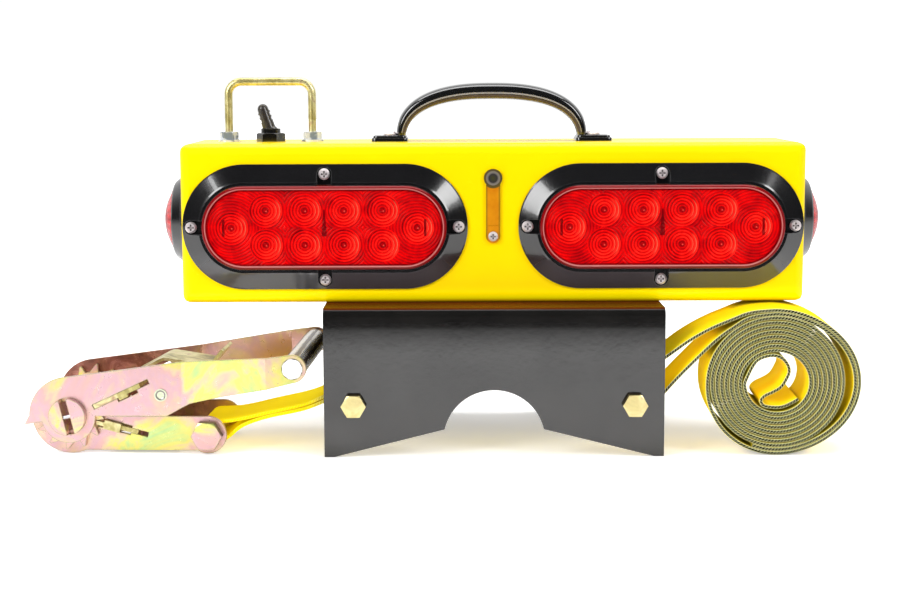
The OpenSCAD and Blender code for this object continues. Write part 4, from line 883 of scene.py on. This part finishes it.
def lower_layer():
    """From the roll through the bracket, under the right bolt and over the left one, to the anchor bolt."""
    under = CROSS_UP - SLEEVE - SLEEVE_GAP - STRAP_T / 2
    over = CROSS_UP + SLEEVE + SLEEVE_GAP + STRAP_T / 2
    arch = ARCH_R + ARCH_GAP - GROUND
    cx = CROSS_X
    points = [roll_point(10, tail_r(10)), roll_point(0, tail_r(0)), roll_point(-22, tail_r(0) + 1)]
    points += [(157, 84.4), (145, 75.1), (124.5, 54.5), (111, 39.6)]
    points += [(cx + 6, under + 1.4), (cx - 3, under - 0.4), (cx - 16, under + 4.1)]
    points += [(55, arch - 5.5), (33, arch + 0.4), (0, arch + 1), (-33, arch - 0.2), (-60, arch - 2.6)]
    points += [(-cx + 12, over + 0.9), (-cx, over + 0.5), (-cx - 7, over - 1.7), (-cx - 16, over - 6.3)]
    points += [(-125, 29.2), (-150, 23.6), (-166, 17.8), (-175, 10.8), (-182.2, 6.3)]
    points += [anchor_point(180), anchor_point(195)]
    return points


def upper_layer():
    """From the anchor bolt back over both bolts, to the top of the roll."""
    over = CROSS_UP + SLEEVE + SLEEVE_GAP + STRAP_T / 2
    arch = ARCH_R + ARCH_GAP - GROUND
    cx = CROSS_X
    points = [anchor_point(-15), anchor_point(0)]
    points += [(-176, 20.7), (-164, 22.9), (-150, 26.3), (-125, 32.2), (-110, 38.5), (-100, 43.5)]
    points += [(-cx, over + LAY + 0.5), (-cx + 13, over + 3.9)]
    points += [(-60, arch + 0.4), (-33, arch + 2.6), (0, arch + 4), (33, arch + 4.4), (64, arch + 3.6)]
    points += [(cx, 53.2), (111, 63.2), (128, 75.4), (142, 83.6), (156, 89.8)]
    points += [roll_point(-20, loose_r(0) + 1.5), roll_point(0, loose_r(0)), roll_point(10, loose_r(10))]
    return points


def free_end(eye_r):
    """The folded end in the roll's eye."""
    points = [(-13.1, 13.3), (-4.4, 17.3), (2.2, 16.3), (6.3, 12.2), (7.7, 7.7), (6.3, 3.2), (3, -2.2)]
    points += [(-1.9, -5.5), (-6.8, -7.9), (-9.3, -10.8), (-7.7, -14.1), (-1.9, -15.2), (4.2, -14.8)]
    points += [(10.4, -11.9), (13.5, -10)]
    return [(ROLL[0] + x * eye_r / FREE_R, ROLL[1] + z * eye_r / FREE_R) for x, z in points]


def strap_route():
    """From under the roll's outer turn to the anchor bolt, back into the roll and round it to its eye."""
    end = FULL + 360 * TURNS
    eye = [roll_point(end - 10, tight_r(end - 10)), roll_point(end, tight_r(end))]
    free = free_end(tight_r(end))
    beyond = (free[-1][0] + 2, free[-1][1] + 1)
    route = [roll_point(a, tail_r(a)) for a in range(200, 9, -10)]
    route += smooth(lower_layer(), 4)
    route += [anchor_point(a) for a in range(180, 346, 15)]
    route += smooth(upper_layer(), 4)
    route += [roll_point(a, loose_r(a)) for a in range(0, int(end), 10)]
    route += smooth(eye + free + [beyond], 3)
    return route + [free[-1]]


EDGE_ROUND = 0.8  # the faces end this far from the edge
EDGE_SHOULDER = 0.22  # the edge's corners lie this far in


def strap_section():
    """The webbing's section with rounded edges, as points across and through it."""
    half_w = STRAP_W / 2
    half_t = STRAP_T / 2
    half = [(share * (half_w - EDGE_ROUND), half_t - 0.02) for share in (-1, -0.8, -0.4, 0, 0.4, 0.8, 1)]
    half += [(half_w - EDGE_SHOULDER, half_t * 0.72), (half_w, half_t * 0.3), (half_w, -half_t * 0.3),
             (half_w - EDGE_SHOULDER, -half_t * 0.72)]
    return half + [(-across, -through) for across, through in half]


def build_strap():
    route = strap_route()
    line = smooth([route[0]] + route + [route[-1]], 2) + [route[-1]]
    place = strap_place()
    section = strap_section()
    rings = []
    run = [0.0]
    for i, (x, z) in enumerate(line):
        before, after = line[max(i - 1, 0)], line[min(i + 1, len(line) - 1)]
        way = Vector((after[0] - before[0], after[1] - before[1])).normalized()
        if i:
            run.append(run[-1] + math.dist((x, z), before))
        rings.append([place @ Vector(((x + way.y * through) * MM, across * MM, (z - way.x * through) * MM))
                      for across, through in section])
    strap = add_rings("strap_webbing", rings, webbing())
    mesh = strap.data
    route_map = mesh.uv_layers.new(name="route")
    for loop in mesh.loops:
        ring, point = divmod(loop.vertex_index, len(section))
        route_map.data[loop.index].uv = (run[ring] * MM, section[point][0] * MM)
    through = mesh.attributes.new("through", "FLOAT", "POINT")
    through.data.foreach_set("value", [point[1] for _ in line for point in section])
    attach(strap, "light_bar")
    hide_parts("strap")


# the webbing's look, in millimetres
RIB = 1.7
SLANT = 2.2
SLANT_ACROSS = 3.4
HATCH = 2.1
TRACER_IN = 2.1  # from the edge
TRACER_W = 0.8
EDGE_IN = 0.55
SELVAGE = 0.84  # the edge's cream lines start this far from the middle of its thickness
BESIDE_RATCHET = (100.0, 125.0)  # left of the bar's middle


def webbing():
    """Woven yellow webbing; UV x runs along the strap and y across it, both in metres."""
    s = Shader("webbing")
    x, y, _ = [part * TO_MM for part in s.split(s.output(s.new("ShaderNodeUVMap", uv_map="route")))]
    through = s.output(s.new("ShaderNodeAttribute", attribute_name="through"), "Fac")
    tau = 2 * math.pi
    rib = (y * (tau / RIB)).sin()
    slant = (x * (tau / SLANT) + y * (tau / SLANT_ACROSS)).sin()
    weave = rib * slant * 0.35 + rib * 0.3
    grime = s.ramp(s.noise(45, 5, 0.6), [(0.35, 0.0), (0.7, 1.0)])
    shade = s.ramp(weave * 0.5 + 0.5, [(0.1, (0.86, 0.66, 0.3, 1)), (0.5, (1, 1, 1, 1))])
    color = s.mix(0.6, s.mix(grime, (1.0, 0.86, 0.006, 1), (1.0, 0.75, 0.005, 1)), shade, "MULTIPLY")
    from_edge = y.abs() * -1.0 + STRAP_W / 2
    tracer = from_edge.near(TRACER_IN, TRACER_W / 2) * (x * (tau / SLANT) + y * 2.5).sin().gt(0.0)
    color = s.mix(tracer * 0.75, color, (0.10, 0.09, 0.008, 1))
    # the woven edge: dark olive between two cream selvage lines, with cream hatching
    edge = from_edge.lt(EDGE_IN)
    face = edge.flip()
    selvage = through.abs().gt(SELVAGE)
    pale = selvage.max((x * (tau / HATCH) + through * 2.6).sin().gt(0.86))
    cream = s.mix((s.noise(700, 2) * 0.6 + 0.55) * 0.5, (0.84, 0.82, 0.36, 1), (1.0, 1.0, 0.68, 1))
    color = s.mix(edge, color, s.mix(pale * 0.9, (0.010, 0.012, 0.002, 1), cream))
    # painted shade: faces darken where other layers lie close over them
    lit = s.openness(0.007, 4).ease(0.2, 0.8)
    color = s.mix(lit.flip() * face * 0.8, color, (0.085, 0.075, 0.012, 1))
    # beside the ratchet the light from the floor washes the face and its edge to one bright yellow
    beside = (axes(s)[0] * -1.0).ease(*BESIDE_RATCHET)
    color = s.mix(beside * (edge * 0.25 + 0.6), color, (1.0, 0.90, 0.004, 1))
    # painted glow: open faces, the cream selvage lines and the stretch beside the ratchet glow faintly
    emit = s.mix(edge * beside.flip(), (1.0, 0.66, 0.0, 1), cream)
    glow = face * (lit * 0.15 + beside * 0.16) + edge * (selvage * 0.16).max(beside * 0.4)
    s.base(color, 0.7, 0.0, spec=0.06, spec_tint=(1.0, 0.9, 0.4, 1), emit=emit, glow=glow)
    s.bump(weave, 0.00035, 0.8)
    s.bump(edge * pale, 0.0002, 0.6)
    return s.mat


# the carry handle
HANDLE_W = 163.0
HANDLE_H = 39.4
FOOT_LEN = 24.5
FOOT_D = 28.0
FOOT_T = 4.0
FOOT_R = 3
FOOT_EDGE = 0.5  # softening of the base's upper edge
BASE_SHARE = 0.62  # of the foot's height; the pad on it starts a little lower
PAD_IN = 1.0  # the pad's border on the base
PAD_SHARE = 0.6
PAD_EDGE = 0.7
GRIP_T = 11.0
GRIP_W = 25.0
NECK_T = 5.5  # thickness and width where the grip meets its foot
NECK_W = 20.0
NECK_SHARE = 0.8  # the grip's axis comes down this far into the foot's length
ARCH_POWER = 0.8  # below 1 the arch is squarer than an ellipse
SECTION_POWER = 0.7  # the same for the grip's section
SWELL_POWER = 0.7  # how fast the grip grows from neck to full size
GRIP_ENDS = (3.0, 177.0)  # degrees along the arch
GRIP_RINGS = 96
GRIP_SIDES = 40
CORNER_STEPS = 6


def handle_axis(a):
    half = HANDLE_W / 2 - FOOT_LEN * NECK_SHARE
    high = HANDLE_H - GRIP_T / 2
    return (half * power(cosd(a), ARCH_POWER), high * sind(a) ** ARCH_POWER)


def handle_ring(a):
    """One section of the grip, square to its axis."""
    here = handle_axis(a)
    after = handle_axis(min(a + 1, 179.5))
    before = handle_axis(max(a - 1, 0.5))
    outward = Vector((after[1] - before[1], before[0] - after[0])).normalized()
    swell = sind(a) ** SWELL_POWER
    half_t = (NECK_T + (GRIP_T - NECK_T) * swell) / 2
    half_w = (NECK_W + (GRIP_W - NECK_W) * swell) / 2
    ring = []
    for i in range(GRIP_SIDES):
        t = 360 * i / GRIP_SIDES
        out = half_t * power(cosd(t), SECTION_POWER)
        across = -half_w * power(sind(t), SECTION_POWER)
        z = max(here[1] + outward[1] * out, 0.02)
        ring.append(((here[0] + outward[0] * out) * MM, across * MM, (TOP + z) * MM))
    return ring


def foot_outline(cx, w, d, inset, z):
    """A rectangle with round corners, inset from the foot's own outline."""
    r = max(FOOT_R - inset, 0.3)
    points = []
    for side_x, side_y, start in ((1, 1, 0), (-1, 1, 90), (-1, -1, 180), (1, -1, 270)):
        for k in range(CORNER_STEPS + 1):
            a = start + 90 * k / CORNER_STEPS
            points.append(((cx + side_x * (w / 2 - inset - r) + r * cosd(a)) * MM,
                           (side_y * (d / 2 - inset - r) + r * sind(a)) * MM, z * MM))
    return points


def foot_plate(cx, border, low, high, edge):
    """One layer of a foot as rings from bottom to top, with a softened upper edge."""
    w = FOOT_LEN - 2 * border
    d = FOOT_D - 2 * border
    levels = ((0, low), (0, high - edge), (edge * 0.3, high - edge * 0.3), (edge, high))
    return [foot_outline(cx, w, d, inset, z) for inset, z in levels]


def add_handle_piece(name, rings, sharp_angle):
    piece = add_rings(name, rings, MATERIALS["handle"], sharp_angle)
    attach(piece, "light_bar")
    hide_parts("carry_handle")


def build_handle():
    start, end = GRIP_ENDS
    rings = [handle_ring(start + (end - start) * i / GRIP_RINGS) for i in range(GRIP_RINGS + 1)]
    add_handle_piece("carry_handle_grip", rings, sharp_angle=60)
    for side, word in ((-1, "left"), (1, "right")):
        cx = side * (HANDLE_W / 2 - FOOT_LEN / 2)
        base = foot_plate(cx, 0.0, TOP, TOP + FOOT_T * BASE_SHARE, FOOT_EDGE)
        pad = foot_plate(cx, PAD_IN, TOP + FOOT_T * PAD_SHARE, TOP + FOOT_T, PAD_EDGE)
        add_handle_piece(f"carry_handle_base_{word}", base, sharp_angle=40)
        add_handle_piece(f"carry_handle_pad_{word}", pad, sharp_angle=40)


# the pawl springs
AXLE = (-280.0, 26.0)  # of the ratchet, along the strap and up from the ground
COIL_TURNS = 6
COIL_R = 2.7
WIRE_R = 0.45
COIL_STEPS = 26  # in one turn
WIRE_SIDES = 10


def pawl_spring(name, node, body, angle, start, end, drop):
    """A fine coil from start to end, beside a line through the axle."""
    axle = Matrix.Translation((AXLE[0] * MM, 0, AXLE[1] * MM))
    place = strap_place() @ axle @ Matrix.Rotation(math.radians(-angle), 4, "Y")
    steps = COIL_STEPS * COIL_TURNS
    lift = (end - start - 2 * WIRE_R) / steps
    rings = []
    for i in range(steps + 1):
        a = 2 * math.pi * COIL_TURNS * i / steps
        ring = []
        for k in range(WIRE_SIDES):
            b = 2 * math.pi * k / WIRE_SIDES
            r = COIL_R + WIRE_R * math.cos(b)
            along = start + WIRE_R + lift * i + WIRE_R * math.sin(b)
            ring.append(tuple(place @ (Vector((along, r * math.cos(a), r * math.sin(a) - drop)) * MM)))
        rings.append(ring)
    coil = add_rings(name, rings, MATERIALS["zinc"], sharp_angle=35)
    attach(coil, body)
    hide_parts(node)
    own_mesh(coil)


# floor and room
PAPER = (0.86, 0.86, 0.86, 1)
DARK = (0.02, 0.02, 0.02, 1)
FLOOR_SIZE = 9
FLOOR_LIFT = 0.42  # added to what the camera sees of the paper
FLOOR_FAR = (0.3, 1.4)  # metres from the object between which the lift grows
FLOOR_FAR_LIFT = 2.6
TABLE_EDGE = -0.642
TABLE_BLUR = 0.012
ROOM_SEEN = 1.02
ROOM_FRONT = 0.03
ROOM_BACK = 0.9
ROOM_EVEN = 0.5


def seen_directly(tree):
    """1 for what the camera sees straight or through a clear part, 0 for mirrored and scattered light."""
    rays = tree.new("ShaderNodeLightPath")
    return tree.output(rays, "Is Camera Ray").max(tree.output(rays, "Is Transmission Ray"))


def floor_paper():
    """White paper that the camera sees lifted to full white, with its soft shadows kept."""
    mat = bpy.data.materials.new("floor")
    mat.use_nodes = True
    t = Tree(mat.node_tree)
    t.tree.nodes.clear()
    seen = seen_directly(t)
    where = t.output(t.new("ShaderNodeTexCoord"), "Object")
    reach = t.new("ShaderNodeVectorMath", operation="LENGTH")
    t.put(reach.inputs[0], where)
    far = t.output(reach, "Value").span(*FLOOR_FAR, 1.0, FLOOR_FAR_LIFT)
    lift = t.new("ShaderNodeEmission")
    t.put(lift.inputs["Strength"], seen * FLOOR_LIFT * far)
    # mirrored, the table ends in front of the object and the room beyond is dark
    table = t.split(where)[1].span(TABLE_EDGE - TABLE_BLUR, TABLE_EDGE + TABLE_BLUR)
    paper = t.new("ShaderNodeBsdfDiffuse")
    t.put(paper.inputs["Color"], t.mix(table.max(seen), DARK, PAPER))
    both = t.new("ShaderNodeAddShader")
    t.put(both.inputs[0], t.output(paper))
    t.put(both.inputs[1], t.output(lift))
    t.put(t.new("ShaderNodeOutputMaterial").inputs[0], t.output(both))
    return mat


def build_floor():
    below = 0.0002
    bpy.ops.mesh.primitive_circle_add(vertices=96, radius=FLOOR_SIZE, fill_type="NGON",
                                      location=(0, 0, GROUND * MM - below))
    floor = bpy.context.object
    floor.name = "floor"
    floor.data.materials.append(floor_paper())


def build_room():
    """White to the camera; mirrored, pale behind and dark in front; even light for dull surfaces."""
    world = bpy.data.worlds.new("studio")
    bpy.context.scene.world = world
    world.use_nodes = True
    t = Tree(world.node_tree)
    toward = t.split(t.output(t.new("ShaderNodeTexCoord"), "Generated"))
    wall = toward[1].span(-0.1, 0.5, ROOM_FRONT, ROOM_BACK, "SMOOTHSTEP")
    glossy = t.output(t.new("ShaderNodeLightPath"), "Is Glossy Ray")
    unseen = t.blend(glossy, ROOM_EVEN, wall)
    background = t.tree.nodes["Background"]
    t.put(background.inputs["Strength"], t.blend(seen_directly(t), unseen, ROOM_SEEN))
    t.put(background.inputs["Color"], (1, 1, 1, 1))


# light and camera, in metres
PHOTO_W = 900
FOCAL_PX = 1667
SENSOR = 36
CAMERA_AT = (-0.0282, -1.147, 0.236)
CAMERA_DOWN = 7.604  # degrees
CAMERA_ROLL = 0.2


def area_light(name, at, look, size, watts):
    light = bpy.data.lights.new(name, "AREA")
    light.shape = "RECTANGLE"
    light.size, light.size_y = size
    light.energy = watts
    lamp = bpy.data.objects.new(name, light)
    bpy.context.scene.collection.objects.link(lamp)
    lamp.location = at
    lamp.rotation_euler = (Vector(look) - Vector(at)).to_track_quat("-Z", "Y").to_euler()


def build_camera():
    view = bpy.data.cameras.new("camera")
    view.sensor_width = SENSOR
    view.lens = FOCAL_PX / PHOTO_W * SENSOR
    view.clip_start = 0.05
    view.clip_end = 50
    camera = bpy.data.objects.new("camera", view)
    bpy.context.scene.collection.objects.link(camera)
    camera.location = CAMERA_AT
    camera.rotation_euler = (math.radians(90 - CAMERA_DOWN), math.radians(CAMERA_ROLL), 0)
    bpy.context.scene.camera = camera


paint_nodes()
build_strap()
smooth_nodes()
build_handle()
pawl_spring("handle_pawl_coil", "handle_pawl_spring", "handle",
            angle=25.0, start=30.1, end=44.9, drop=1.6)
pawl_spring("frame_pawl_coil", "frame_pawl_spring", "light_bar",
            angle=-14.8, start=29.6, end=41.0, drop=0.0)
build_floor()
build_room()
area_light("key", (-1.15, -1.05, 0.85), (0, 0, 0.08), (0.75, 1.0), 19)
area_light("fill", (1.2, -1.0, 0.95), (0, 0, 0.08), (0.6, 0.8), 13)
area_light("over", (0.0, 0.15, 1.3), (0, 0, 0.1), (1.6, 0.6), 14)
build_camera()
bpy.context.scene.view_settings.view_transform = "Standard"
